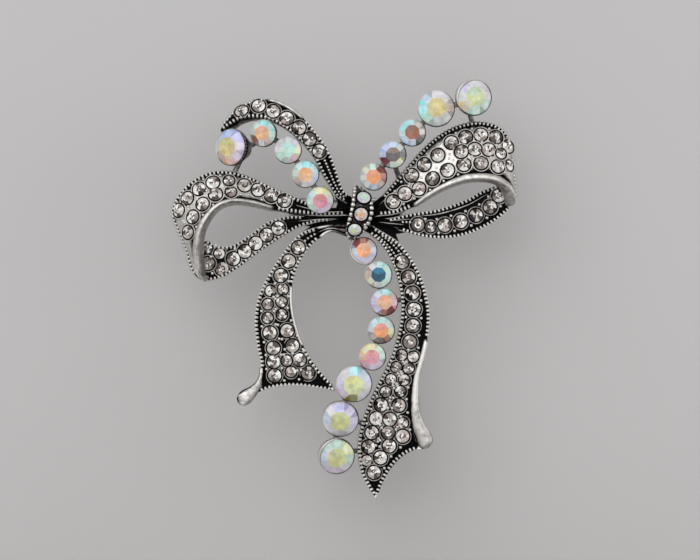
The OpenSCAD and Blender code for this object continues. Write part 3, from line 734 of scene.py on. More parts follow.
@dataclass(frozen=True)
class Cut:
    """Chaton cut of a round stone, with its heights and widths as shares of its diameter."""

    table: float = 0.55
    inner: float = 0.55
    apex: float = 0.004
    crown: float = 0.17
    girdle: float = 0.05
    pavilion: float = 0.42
    culet: float = 0.12
    sectors: int = 8
    girdle_steps: int = 4
    star_steps: int = 4

    def shape(self, d: float) -> tuple[Vec, list[tuple[tuple[int, ...], Facet, int]]]:
        """Cuts a stone in its own right, up and outward directions.

        Args:
            d: The stone's diameter.

        Returns:
            Its points, and its faces with the kind and sector of each.
        """
        n, m = self.sectors, self.girdle_steps
        top, low = (self.girdle + self.crown) * d, -self.pavilion * d

        def ring(count: int, r: float, z: float) -> list[tuple[float, float, float]]:
            """Places points round the stone, from the left of the top facet to the right."""
            turns = [2 * math.pi * (i / count) - math.pi / n for i in range(count)]
            return [(r * math.sin(t), r * math.cos(t), z) for t in turns]

        rt, r = self.table * d / 2, d / 2
        points = [(0, 0, top + self.apex * d)] + ring(n, rt * self.inner, top) + ring(n, rt, top)
        points += ring(n * m, r, self.girdle * d) + ring(n * m, r, 0) + ring(n, self.culet * r, low)
        inner, table, upper, lower, culet = 1, 1 + n, 1 + 2 * n, 1 + 2 * n + n * m, 1 + 2 * n + 2 * n * m
        faces = []
        for i in range(n):
            j = (i + 1) % n
            over = [upper + (i * m + k) % (n * m) for k in range(m + 1)]
            under = [lower + (i * m + k) % (n * m) for k in range(m + 1)]
            faces.append(((0, inner + i, inner + j), Facet.TABLE, i))
            faces.append(((inner + i, table + i, table + j, inner + j), Facet.RING, i))
            if m < self.star_steps:
                faces.append(((table + i, *over, table + j), Facet.CROWN, i))
            else:
                faces.append(((table + i, *over[1:-1], table + j), Facet.CROWN, i))
                faces.append(((table + j, over[-2], over[-1], upper + (j * m + 1) % (n * m)), Facet.STAR, i))
            faces += [((over[k], under[k], under[k + 1], over[k + 1]), Facet.GIRDLE, i) for k in range(m)]
            faces += [((under[k], culet + i, under[k + 1]), Facet.PAVILION, i) for k in range(m)]
            faces.append(((under[-1], culet + i, culet + j), Facet.PAVILION, i))
        faces.append((tuple(range(culet, culet + n)), Facet.PAVILION, 0))
        return np.array(points, float), faces


def turned_shape(profile: tuple[tuple[float, float], ...], sides: int, square: float = 1.0) -> Shape:
    """Turns a profile about the outward axis.

    Args:
        profile: Radius and height of each ring, from the foot to the top.
        sides: Points round each ring.
        square: 1 for a round plan, and less for a squarer one.

    Returns:
        Its points and faces.
    """
    turns = [2 * math.pi * (j + 0.5) / sides for j in range(sides)]
    plan = [[math.copysign(abs(f(t)) ** square, f(t)) for f in (math.cos, math.sin)] for t in turns]
    points = np.array([(r * x, r * y, z) for r, z in profile for x, y in plan])
    faces = [(i * sides + j, i * sides + (j + 1) % sides,
              (i + 1) * sides + (j + 1) % sides, (i + 1) * sides + j)
             for i in range(len(profile) - 1) for j in range(sides)]
    faces += [tuple(range(sides - 1, -1, -1)), tuple(range(len(points) - sides, len(points)))]
    return points, faces


def swept_shape(rings: list[Vec]) -> Shape:
    """Joins closed rings of points, each a front and then its back the other way, and closes both ends.

    Args:
        rings: The rings' points, as many in each.

    Returns:
        Its points and faces.
    """
    ring, last = len(rings[0]), (len(rings) - 1) * len(rings[0])
    faces = [(i + j, i + (j + 1) % ring, i + ring + (j + 1) % ring, i + ring + j)
             for i in range(0, last, ring) for j in range(ring)]
    faces += [(i + j, i + j + 1, i + ring - 2 - j, i + ring - 1 - j)
              for i in (0, last) for j in range(ring // 2 - 1)]
    return np.vstack(rings), faces


def torus_shape(major: float, minor: float, tall: float, turns: int = 20, sides: int = 6) -> Shape:
    """Makes a ring that lies flat.

    Args:
        major: Radius of the ring's middle.
        minor: Half of the ring's width.
        tall: Half of the ring's height.
        turns: Steps round the ring.
        sides: Steps round its wire.

    Returns:
        Its points and faces.
    """
    points = []
    for i in range(turns):
        t = 2 * math.pi * i / turns
        for j in range(sides):
            s = 2 * math.pi * j / sides
            r = major + minor * math.cos(s)
            points.append((r * math.cos(t), r * math.sin(t), tall * math.sin(s)))
    faces = [(i * sides + j, ((i + 1) % turns) * sides + j, ((i + 1) % turns) * sides + (j + 1) % sides,
              i * sides + (j + 1) % sides) for i in range(turns) for j in range(sides)]
    return np.array(points, float), faces


# A bead with half sizes of 1, on a plan between round and square: an upright black foot and a domed top.
BEAD = turned_shape(((1, -0.35), (1, 0.3), (0.93, 0.68), (0.74, 0.95)), 12, 0.55)
BEAD_BLACK = np.clip(0.5 - 1.4 * BEAD[0][:, 2], 0, 1)


@dataclass(frozen=True)
class Beading:
    """Sizes of a row of beads.

    They are its pitch, a bead's half length along the row, half width across it and height, and the distance
    of the beads' middle from the edge.
    """

    pitch: float = 0.62
    half_l: float = 0.185
    half_w: float = 0.3
    height: float = 0.38
    inset: float = 0.31

    def bead(self, stock: MeshStock, place: Vec, way: Vec, out: Vec) -> None:
        """Sets one bead.

        Args:
            stock: The piece that takes the bead.
            place: Its middle.
            way: Its direction along the row.
            out: Its outward direction.
        """
        way = unit(way - way.dot(out) * out)
        axes = np.array([way * self.half_l, np.cross(out, way) * self.half_w, out * self.height])
        stock.add(place + BEAD[0] @ axes, BEAD[1], BEAD_BLACK)

    def string(self, stock: MeshStock, course: list[tuple[Vec, Vec]]) -> None:
        """Sets beads along a course.

        Args:
            stock: The piece that takes the beads.
            course: A place and an outward direction at each step.
        """
        spots = np.array([c[0] for c in course])
        run = running_length(spots)
        count = max(int(run[-1] / self.pitch), 1)
        for i in range(count):
            at = (i + 0.5) * run[-1] / count
            k = min(max(int(np.searchsorted(run, at)), 1), len(run) - 1)
            step = spots[k] - spots[k - 1]
            t = (at - run[k - 1]) / (run[k] - run[k - 1])
            self.bead(stock, spots[k - 1] + step * t, step, course[k][1])


ROOT_BEADING = Beading(0.52, 0.17, 0.17, 0.2)
BAND_BEADING = Beading(half_w=0.34, inset=0.42)
TAIL_BEADING = Beading(half_l=0.215, half_w=0.33, inset=0.34)
KNOT_BEADING = Beading(0.76, 0.33, 0.34, 0.4, 0.32)
GRAIN = Beading(half_l=0.21, half_w=0.21, height=0.24)


@dataclass(frozen=True)
class Ring:
    """A ring round a small stone: the gap from the stone to its middle, and half its width and height."""

    gap: float
    half_w: float
    half_h: float

    def build(self, stock: MeshStock, seat: Seat, black: float) -> None:
        """Lays the ring round one stone.

        Args:
            stock: The piece that takes the ring.
            seat: The stone's seat.
            black: The ring's share of black.
        """
        points, faces = torus_shape(seat.d / 2 + self.gap, self.half_w, self.half_h)
        stock.add(seat.place + points @ seat.axes(), faces, black)


SEAT_RING = Ring(0.11, 0.18, 0.1)
BEZEL = Ring(0.3, 0.08, 0.08)
# Share of black on the backs of the castings.
BACK_BLACK = 0.34


@dataclass(frozen=True)
class Paddle:
    """Smooth end of a polished edge, which widens to a round tip, by its own course.

    Root and tip give the places, from either end, between which it swells to its full height.
    """

    line: Line
    steps: int = 8
    root: tuple[float, float] = (-0.8, 1)
    tip: tuple[float, float] = (-0.5, 1.2)

    def build(self, stock: MeshStock) -> None:
        """Adds the paddle to a casting, black along its inner edge.

        Args:
            stock: The casting that takes it.
        """
        v = np.array([0, 0.05, 0.14, 0.3, 0.5, 0.7, 0.86, 0.95, 1])
        h = BOW.rim_h * np.array([0, 0.55, 0.88, 1.02, 1.06, 1.02, 0.88, 0.55, 0])
        black = np.array([1, 0.85, 0.53, 0.45, 0.43, 0.45, 0.46, 0.51, 0.63])
        rings, patina_and_shade = [], []
        for u in np.linspace(0, self.line.last, self.steps * self.line.last + 1):
            section = self.line.at(u)
            tall = ease(u, *self.root) * ease(self.line.last - u, *self.tip)
            rings.append(np.vstack([section.lay(v, h * tall), section.lay(v[::-1], -BOW.ribbon_t)]))
            patina_and_shade += [black, np.full(len(v), BACK_BLACK)]
        stock.add(*swept_shape(rings), np.concatenate(patina_and_shade))


@dataclass(frozen=True)
class Bank:
    """One side of a web: a ribbon's edge, the stretch along it, the web's depth under it and thickness."""

    line: Line
    edge: int
    end: float
    start: float = -0.4
    depth: float = 0.35
    thick: float = 0.8

    def at(self, t: float) -> Vec:
        """Gives the web's front and back at a share of the stretch."""
        section = self.line.at(self.start + (self.end - self.start) * t)
        return section.lay(self.edge, -np.array([self.depth, self.depth + self.thick]))


@dataclass(frozen=True)
class Web:
    """A black sheet that fills the crotch between two edges by the knot, with a hollow outer end: painted
    shade between the ribbons.
    """

    first: Bank
    second: Bank
    hollow: float = 0.85
    steps: int = 16
    black: float = 0.95

    def build(self, stock: MeshStock) -> None:
        """Adds the web to a piece.

        Args:
            stock: The piece that takes it.
        """
        rings = []
        for t in np.linspace(0, 1, self.steps):
            near, far = self.first.at(t), self.second.at(t)
            middle = (self.first.at(self.hollow * t) + self.second.at(self.hollow * t)) / 2
            rings.append(np.array([near[0], middle[0], far[0], far[1], middle[1], near[1]]))
        stock.add(*swept_shape(rings), self.black)


# Points across a rim: shares of its width from the edge, shares of its height, and shares of black.
POLISHED_RIM = np.array([
    [0, 0.1, 0.28, 0.55, 0.82, 0.97], [0.45, 0.85, 1, 1, 0.88, 0.4], [0.53, 0.45, 0.41, 0.41, 0.45, 0.87]])
BEADED_RIM = np.array([
    [0.32, 0.4, 0.56, 0.68, 0.8, 0.92], [-0.3, 0.1, 0.2, 0.2, 0.1, 0], [1, 1, 1, 1, 1, 1]])
FIELD_SHARES = np.arange(1, 10) / 10


@dataclass
class Ribbon:
    """A cast ribbon: its body with polished or beaded edges, its beadwork, and its small stones.

    Places along it are in stations, places across it in shares of its width, and sizes in millimetres. A pair
    holds the values at the start and the end of a change.
    """

    name: str
    line: Line
    stones_node: str
    rows: tuple[Row, ...]
    # Each beaded stretch has its edge, start and end. Each row of fine beads at the root, and each fold line,
    # has its start, end and share of the width.
    beaded: tuple[tuple[int, float, float], ...]
    roots: tuple[Stretch, ...]
    field_black: tuple[float, float]
    brighten: tuple[float, float] = (1.5, 3.5)
    root_dark: tuple[float, float] = (0.8, 2.4)
    end_beads: tuple[float, float] | None = None
    end_beading: Beading = Beading()
    rim_black: float = 0.0
    root_black: float = 0.45
    bezel_black: float = 0.12
    bezel_field: float = 0.4
    crown_h: float = 0.25
    back_h: float = 0.0
    start: float = -0.5
    steps: int = 12
    beading: Beading = Beading()
    paddles: tuple[Paddle, ...] = ()
    folds: tuple[Stretch, ...] = ()
    # Heights and shares of black of a fold line, at its foot, ridge, other foot and underside.
    fold_half_w: float = 0.16
    fold_h: tuple[float, ...] = (-0.03, 0.13, -0.03, -0.1)
    fold_black: tuple[float, ...] = (0.75, 0.4, 0.75, 1)
    round_end: float = 0.0
    end_size: float = 0.15
    coats: tuple[Coat, ...] = ()
    # The gutter beside a rim, which is narrower on a narrow ribbon.
    gutter_w: float = 0.09
    gutter_share: float = 0.08
    gutter_h: float = -0.04
    bead_fade: float = 0.3
    field_shade: tuple[float, float] = (0.05, 0.16)
    end_shade: tuple[float, float] = (0.9, 1.3)
    # Room that a grain bead needs beside rims, stones and other grain beads.
    rim_clear: float = 0.3
    stone_clear: float = 0.13
    grain_clear: float = 0.36

    def beads_here(self, u: float, k: int) -> float:
        """Tells how far an edge is beaded.

        Args:
            u: The place along the ribbon.
            k: The edge, 0 or 1.

        Returns:
            1 where it is beaded and 0 where it is polished.
        """
        fade = self.bead_fade
        return max((ease(u, u0 - fade, u0) * ease(-u, -u1 - fade, -u1)
                    for edge, u0, u1 in self.beaded if edge == k), default=0.0)

    def seats(self) -> list[Seat]:
        """Gives the seat of every small stone."""
        return [s for row in self.rows for s in row.seats(self.line, self.crown_h)]

    def profile(self, u: float, section: Section) -> tuple[Vec, Vec, Vec]:
        """Draws the front of one section.

        Args:
            u: The place along the ribbon.
            section: The section there.

        Returns:
            Shares of the width, heights and shares of black, from the first edge to the second.
        """
        w = section.width
        gutter = min(self.gutter_w, self.gutter_share * w)
        root = self.root_black * (1 - ease(u, *self.root_dark))
        sides = []
        for k, rim in enumerate((section.ends[0] * w, (1 - section.ends[1]) * w)):
            polished = POLISHED_RIM.copy()
            polished[2] = np.clip(polished[2] + self.rim_black + root, 0, 1)
            d, h, p = polished + (BEADED_RIM - polished) * self.beads_here(u, k)
            d, h = np.append(d * rim, rim + gutter), np.append(h * BOW.rim_h, self.gutter_h)
            sides.append((d / w, h, np.append(p, 1.0)))
        (v0, h0, p0), (v1, h1, p1) = sides
        low, high = v0[-1], 1 - v1[-1]
        v = low + (high - low) * FIELD_SHARES
        black = self.field_black[0] + (self.field_black[1] - self.field_black[0]) * ease(u, *self.brighten)
        shade = 1 - ease(np.minimum(FIELD_SHARES, 1 - FIELD_SHARES), *self.field_shade)
        h = np.concatenate([h0, section.crown(v, self.crown_h), h1[::-1]])
        p = np.concatenate([p0, np.maximum(black, shade), p1[::-1]])
        v = np.concatenate([v0, v, 1 - v1[::-1]])
        if self.end_beads:
            first, last = self.end_beads
            away = np.linalg.norm(section.lay(v, 0) - self.line.at(self.line.last).lay(v, 0), axis=1)
            p = np.maximum(p, (1 - ease(away, *self.end_shade)) * (first <= v) * (v <= last))
        return v, h, p

    def build_body(self, silver: Material) -> None:
        """Sweeps the casting along its course, closed at both ends. It stands for the CAD ribbon.

        Args:
            silver: The casting's finish.
        """
        stock, rings, patina_and_shade = MeshStock(), [], []
        steps = round(self.steps * (self.line.last - self.start))
        for u in np.linspace(self.start, self.line.last, steps + 1):
            section = self.line.at(u)
            v, h, p = self.profile(u, section)
            left = self.line.last - u
            if left < self.round_end:
                size = max(math.sqrt(1 - (1 - left / self.round_end) ** 2), self.end_size)
                v, h = 0.5 + (v - 0.5) * size, (h + BOW.ribbon_t / 2) * size - BOW.ribbon_t / 2
            back = section.lay(v, -BOW.ribbon_t)
            if self.back_h:
                back[:, 1] = -self.back_h
            rings.append(np.vstack([section.lay(v, h), back[::-1]]))
            patina_and_shade += [p, np.full(len(v), BACK_BLACK)]
        stock.add(*swept_shape(rings), np.concatenate(patina_and_shade))
        for paddle in self.paddles:
            paddle.build(stock)
        for fold in self.folds:
            self.crease(stock, *fold)
        body = stock.piece(f"{self.name}_casting", silver, True)
        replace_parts(body, self.name)

    def crease(self, stock: MeshStock, u0: float, u1: float, v: float, steps: int = 24) -> None:
        """Raises one worn fold line.

        Args:
            stock: The casting that takes it.
            u0: Where it starts.
            u1: Where it ends.
            v: Its share of the width.
            steps: Sections along it.
        """
        rings = []
        for t in np.linspace(0, 1, steps):
            section = self.line.at(u0 + (u1 - u0) * t)
            # The line tapers to a sliver at both ends.
            half = self.fold_half_w * math.sin(math.pi * (0.05 + 0.9 * t)) / section.width
            heights = section.crown(v, self.crown_h) + np.array(self.fold_h)
            rings.append(section.lay([v - half, v, v + half, v], heights))
        stock.add(*swept_shape(rings), np.tile(self.fold_black, steps))

    def edge_course(self, k: int, u0: float, u1: float) -> list[tuple[Vec, Vec]]:
        """Follows one edge's beads, a little sunk, and no further in than a share of a narrow ribbon.

        Args:
            k: The edge, 0 or 1.
            u0: Where the beads start.
            u1: Where they end.

        Returns:
            A place and the way out at each step.
        """
        steps_each, sunk, most = 20, 0.03, 0.3
        course = []
        for u in np.linspace(u0, u1, max(int((u1 - u0) * steps_each), 2)):
            section = self.line.at(u)
            inset = min(self.beading.inset, most * section.width) / section.width
            course.append((section.lay(inset if k == 0 else 1 - inset, -sunk), section.front))
        return course

    def end_course(self, v0: float, v1: float) -> list[tuple[Vec, Vec]]:
        """Follows the beads across the ribbon's end, a little raised.

        Args:
            v0: Share of the width where they start.
            v1: Share of the width where they end.

        Returns:
            A place and the way out at each step.
        """
        steps, raised, back = 60, 0.05, 0.15
        last, before = self.line.at(self.line.last), self.line.at(self.line.last - back)
        course = []
        for v in np.linspace(v0, v1, steps):
            spot = last.lay(v, raised)
            course.append((spot + self.end_beading.inset * unit(before.lay(v, raised) - spot), last.front))
        return course

    def grains(self, seats: list[Seat]) -> list[tuple[Vec, Vec]]:
        """Finds room for the small beads that hold the stones, on both sides of each close pair.

        Args:
            seats: The ribbon's stones.

        Returns:
            The place and outward direction of each bead.
        """
        close, beside = 0.85, 0.3
        found: list[tuple[Vec, Vec]] = []
        for i, s in enumerate(seats):
            for t in seats[i + 1:]:
                if np.linalg.norm(t.place - s.place) >= close * (s.d + t.d):
                    continue
                way = np.cross(unit(t.place - s.place), s.facing)
                for side in (-1, 1):
                    spot = (s.place + t.place) / 2 + side * beside * (s.d + t.d) * way
                    clear = all(np.linalg.norm(spot - x.place) > x.d / 2 + self.stone_clear for x in seats)
                    if clear and all(np.linalg.norm(spot - g[0]) > self.grain_clear for g in found):
                        found.append((spot, s.facing))
        return [g for g in found if self.on_field(g[0])]

    def on_field(self, spot: Vec) -> bool:
        """Tells whether a place lies between the ribbon's rims.

        Args:
            spot: The place.

        Returns:
            True where it does.
        """
        line, steps_each, reach, samples = self.line, 8, 1.5, 25
        us = np.linspace(0, line.last, steps_each * line.last + 1)
        near = min(us, key=lambda u: np.linalg.norm((line.edge(u, 0) + line.edge(u, 1)) / 2 - spot))
        around = np.linspace(max(near - reach, 0), min(near + reach, line.last), samples)
        best = min((line.at(u) for u in around), key=lambda s: abs((spot - s.a).dot(s.along)))
        share = (spot - best.a).dot(best.b - best.a) / best.width ** 2
        clear = self.rim_clear / best.width
        return best.ends[0] + clear < share < best.ends[1] - clear

    def build_beadwork(self, silver: Material, seats: list[Seat]) -> None:
        """Sets the beaded edges, the beads of the root, the grain beads and the rings round the stones.

        Args:
            silver: The beads' finish.
            seats: The ribbon's stones.
        """
        stock = MeshStock()
        for k, u0, u1 in self.beaded:
            self.beading.string(stock, self.edge_course(k, u0, u1))
        if self.end_beads:
            self.end_beading.string(stock, self.end_course(*self.end_beads))
        for u0, u1, v in self.roots:
            sections = [self.line.at(u) for u in np.linspace(u0, u1, 40)]
            ROOT_BEADING.string(stock, [(s.lay(v, s.crown(v, self.crown_h)), s.front) for s in sections])
        for spot, out in self.grains(seats):
            GRAIN.bead(stock, spot, Seat(spot, out, 0).axes()[0], out)
        for seat in seats:
            SEAT_RING.build(stock, seat, 1.0)
            if not self.coats:
                BEZEL.build(stock, seat, self.bezel_black + self.bezel_field * self.field_black[1])
        stock.piece(f"{self.name}_beadwork", silver, True)

    def build_stones(self, glass: Material, seats: list[Seat]) -> None:
        """Cuts the ribbon's small stones, as one piece that stands for their CAD solids.

        Args:
            glass: The stones' finish.
            seats: Their seats.
        """
        luck = random.Random(len(self.name) * 131 + len(seats))
        stock, cut = MeshStock(), Cut(girdle_steps=2)
        for i, s in enumerate(seats):
            points, faces = cut.shape(s.d)
            tint = self.coats[i] if self.coats else None
            spin = 0.0 if tint else luck.uniform(0, 2 * math.pi)
            tones = [tint.tone(kind, sector, luck) if tint else ice_tone(kind, luck)
                     for _, kind, sector in faces]
            stock.add(s.place + points @ s.axes(spin), [f[0] for f in faces], None, tones)
        stones = stock.piece(f"{self.stones_node}_cut", glass, False)
        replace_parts(stones, self.stones_node)

    def build(self, silver: Material, glass: Material) -> None:
        """Builds and dresses the whole ribbon.

        Args:
            silver: The finish of its metal.
            glass: The finish of its stones.
        """
        seats = self.seats()
        self.build_body(silver)
        self.build_beadwork(silver, seats)
        self.build_stones(glass, seats)


@dataclass
class Spray:
    """A row of larger stones in cups that follows one edge of a ribbon.

    Bright names the cups whose lip widens into a crescent, with its direction in degrees, from the right by
    way of the top; the crescent is a painted highlight. The other lips carry a painted highlight towards the
    light.
    """

    name: str
    line: Line
    edge: int
    gap: float
    start: float
    stone_gap: float
    rises: tuple[float, float]
    diameters: tuple[float, ...]
    leans: tuple[tuple[float, float], ...]
    coats: tuple[Coat, ...]
    bright: dict[int, float] = field(default_factory=dict)
    light: float = 135
    lip_half_w: float = 0.07
    lip_half_h: float = 0.22
    lip_steps: tuple[int, int] = (48, 10)
    # The lip's share of black, and how much less it is towards the light as painted highlight and shade, on a
    # plain lip and on a crescent.
    lip_black: float = 0.6
    lip_shade: float = 0.7
    crescent_shade: float = 1.5
    crescent_w: float = 5.2
    crescent_h: float = 1.6
    crescent_line: tuple[float, float] = (0.085, 0.11)
    turn: float = 0.12

    def beside(self, u: float, d: float, step: float = 0.05) -> Vec:
        """Finds a place outside the edge, in the front view.

        Args:
            u: The place along the ribbon.
            d: The distance from the edge.
            step: The stretch that gives the edge's direction.

        Returns:
            Its place across and up.
        """
        def flat(at: float, k: int) -> Vec:
            """Drops the depth of an edge's point."""
            return self.line.edge(at, k)[[0, 2]]

        run = unit(flat(u + step, self.edge) - flat(u - step, self.edge))
        out = np.array([-run[1], run[0]])
        if out.dot(flat(u, self.edge) - flat(u, 1 - self.edge)) < 0:
            out = -out
        return flat(u, self.edge) + d * out

    def seats(self) -> list[Seat]:
        """Places each stone so that it just clears the last one.

        Returns:
            A seat for each stone, from the knot outwards.
        """
        n, u, found, last = len(self.diameters), self.start, [], None
        reach, halvings = 5, 25
        for i, d in enumerate(self.diameters):
            if last is not None:
                low, high = u, u + reach
                apart = (d + self.diameters[i - 1]) / 2 + self.stone_gap
                for _ in range(halvings):
                    u = (low + high) / 2
                    if np.linalg.norm(self.beside(u, d / 2 + self.gap) - last) > apart:
                        high = u
                    else:
                        low = u
            last = self.beside(u, d / 2 + self.gap)
            share = self.rises[0] + (self.rises[1] - self.rises[0]) * i / (n - 1)
            facing = unit(np.array([self.leans[i][0], -1, self.leans[i][1]]))
            found.append(Seat(np.array([last[0], -BOW.rise(share), last[1]]), facing, d))
        return found

    def add_lip(self, stock: MeshStock, number: int, seat: Seat) -> None:
        """Lips one cup, painted lighter towards the light, and gives a bright one a wide crescent, painted as
        a highlight, with a black inner line.

        Args:
            stock: The piece that takes the lip.
            number: The cup's number, from the knot outwards.
            seat: The seat of its stone.
        """
        r, tall = seat.d / 2, Cut.girdle * seat.d + self.lip_half_h
        points, faces = torus_shape(r - self.lip_half_w, self.lip_half_w, tall, *self.lip_steps)
        towards = math.radians(self.bright.get(number, self.light))
        # Painted highlight and shade: the lip's black drops towards the light's direction and rises away from
        # it.
        lit = math.sqrt(2) * (points[:, 0] * math.cos(towards) + points[:, 1] * math.sin(towards)) / seat.d
        black = np.clip(self.lip_black - self.lip_shade * lit, 0, 1)
        if number in self.bright:
            grown = np.maximum(lit, 0) ** 2
            across = np.linalg.norm(points[:, :2], axis=1)
            inward = r - across
            wider = (r - inward * (1 + self.crescent_w * grown)) / across
            points = points * np.stack([wider, wider, 1 + self.crescent_h * grown], axis=1)
            black = np.clip(self.lip_black - self.crescent_shade * lit, 0, 1)
            black = np.maximum(black, ease(inward, *self.crescent_line))
        stock.add(seat.place + points @ seat.axes(), faces, black)

    def build(self, silver: Material, glass: Material) -> None:
        """Cuts the spray's stones and lips their cups.

        Args:
            silver: The finish of the lips.
            glass: The finish of the stones.
        """
        lips, cut = MeshStock(), Cut()
        for i, (seat, tint) in enumerate(zip(self.seats(), self.coats)):
            luck = random.Random(i * 17 + len(self.name))
            points, faces = cut.shape(seat.d)
            tones = [tint.tone(kind, sector, luck) for _, kind, sector in faces]
            axes = seat.axes(luck.uniform(-self.turn, self.turn))
            stock = MeshStock()
            stock.add(seat.place + points @ axes, [f[0] for f in faces], None, tones)
            node = f"{self.name}_stone_{i + 1}"
            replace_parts(stock.piece(f"{node}_cut", glass, False), node)
            self.add_lip(lips, i + 1, seat)
        lips.piece(f"{self.name}_cup_lips", silver, True)


@dataclass(frozen=True)
class Fitting:
    """A metal piece that keeps its CAD shape, with broken edges where they have a width."""

    node: str
    edge_mm: float = 0.06
    weld_mm: float = 0.001
    sharp: float = 40

    def dress(self, metal: Material) -> None:
        """Gives the node its finish and rounds its edges.

        Args:
            metal: The finish.
        """
        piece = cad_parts[self.node]
        piece.data.materials.clear()
        piece.data.materials.append(metal)
        if self.edge_mm:
            weld = piece.modifiers.new("joined", "WELD")
            weld.merge_threshold = self.weld_mm * MM
            bevel = piece.modifiers.new("broken_edges", "BEVEL")
            bevel.width = self.edge_mm * MM
            bevel.segments = 2
            bevel.limit_method = "ANGLE"
            bevel.angle_limit = math.radians(self.sharp)
        log.info("%s dressed", self.node)


@dataclass(frozen=True)
class Lamp:
    """A soft square lamp: its place from the bow's middle and its side, in metres, and its power in watts."""

    name: str
    place: Place
    size: float
    power: float

    def hang(self, centre: Place) -> None:
        """Hangs the lamp so that it faces the bow.

        Args:
            centre: The bow's middle.
        """
        data = bpy.data.lights.new(self.name, "AREA")
        data.size = self.size
        data.energy = self.power
        lamp = bpy.data.objects.new(self.name, data)
        lamp.location = [c + p for c, p in zip(centre, self.place)]
        x, y, z = self.place
        lamp.rotation_euler = (math.atan2(math.hypot(x, y), z), 0, math.atan2(y, x) + math.pi / 2)
        bpy.context.scene.collection.objects.link(lamp)


@dataclass(frozen=True)
class Studio:
    """Plain pale floor, soft lamps, grey surroundings and the camera."""

    centre: Place = (8.84 * MM, -5 * MM, -12.41 * MM)
    view_width: float = 108.55 * MM
    distance: float = 0.6
    sensor: float = 36
    paper: MattPaper = MattPaper()
    sky: str = "#FCFDFF"
    sky_strength: float = 0.6
    floor_z: float = -57 * MM
    wall_gap: float = 11 * MM
    lamps: tuple[Lamp, ...] = (
        Lamp("key", (-0.26, -0.60, 0.38), 0.75, 1.9), Lamp("front", (0.05, -0.95, 0.10), 0.8, 1.3),
        Lamp("side", (0.55, -0.25, 0.05), 0.3, 0.4), Lamp("rear", (0.1, 0.6, 0.4), 0.5, 1.2))

    def camera(self) -> None:
        """Sets a long lens straight in front of the bow."""
        data = bpy.data.cameras.new("camera")
        data.sensor_width = self.sensor
        data.lens = self.sensor * self.distance / self.view_width
        camera = bpy.data.objects.new("camera", data)
        camera.location = (self.centre[0], self.centre[1] - self.distance, self.centre[2])
        camera.rotation_euler = (math.pi / 2, 0, 0)
        bpy.context.scene.collection.objects.link(camera)
        bpy.context.scene.camera = camera

    def surroundings(self) -> None:
        """Lights the bow from all round, and shows plain grey to the camera, to gloss and through glass."""
        world = bpy.data.worlds.new("surroundings")
        world.use_nodes = True
        bpy.context.scene.world = world
        tree = world.node_tree
        camera, gloss, through = [add_node(tree, "ShaderNodeLightPath", out=name) for name in (
            "Is Camera Ray", "Is Glossy Ray", "Is Transmission Ray")]
        either = add_node(tree, "ShaderNodeMath", {0: camera, 1: gloss}, operation="MAXIMUM")
        seen = add_node(tree, "ShaderNodeMath", {0: either, 1: through}, operation="MAXIMUM")
        light = add_node(tree, "ShaderNodeBackground", {
            "Color": linear(self.sky), "Strength": self.sky_strength})
        shown = add_node(tree, "ShaderNodeBackground", {"Color": linear(self.paper.grey), "Strength": 1.0})
        both = add_node(tree, "ShaderNodeMixShader", {0: seen, 1: light, 2: shown})
        set_inputs(tree, tree.nodes["World Output"], {"Surface": both})

    def disc(self, name: str, place: Place, tilt: float, paper: Material) -> None:
        """Sets a round sheet of paper as part of the stage.

        Args:
            name: The sheet's name.
            place: Its middle.
            tilt: Its turn about the X axis from lying face up.
            paper: Its finish.
        """
        mesh = bpy.data.meshes.new(name)
        work = bmesh.new()
        bmesh.ops.create_circle(work, cap_ends=True, segments=96, radius=self.paper.radius)
        work.to_mesh(mesh)
        work.free()
        mesh.materials.append(paper)
        sheet = bpy.data.objects.new(name, mesh)
        sheet.location = place
        sheet.rotation_euler = (tilt, 0, 0)
        bpy.context.scene.collection.objects.link(sheet)

    def build(self) -> None:
        """Sets up the whole studio."""
        bpy.context.scene.view_settings.view_transform = "Standard"
        self.camera()
        self.surroundings()
        paper = self.paper.material()
        wall_y = max(corner[1] for corner in cad_box) + self.wall_gap
        self.disc("floor", (self.centre[0], self.centre[1], self.floor_z), 0, paper)
        self.disc("backdrop", (self.centre[0], wall_y, self.centre[2]), math.pi / 2, paper)
        for lamp in self.lamps:
            lamp.hang(self.centre)


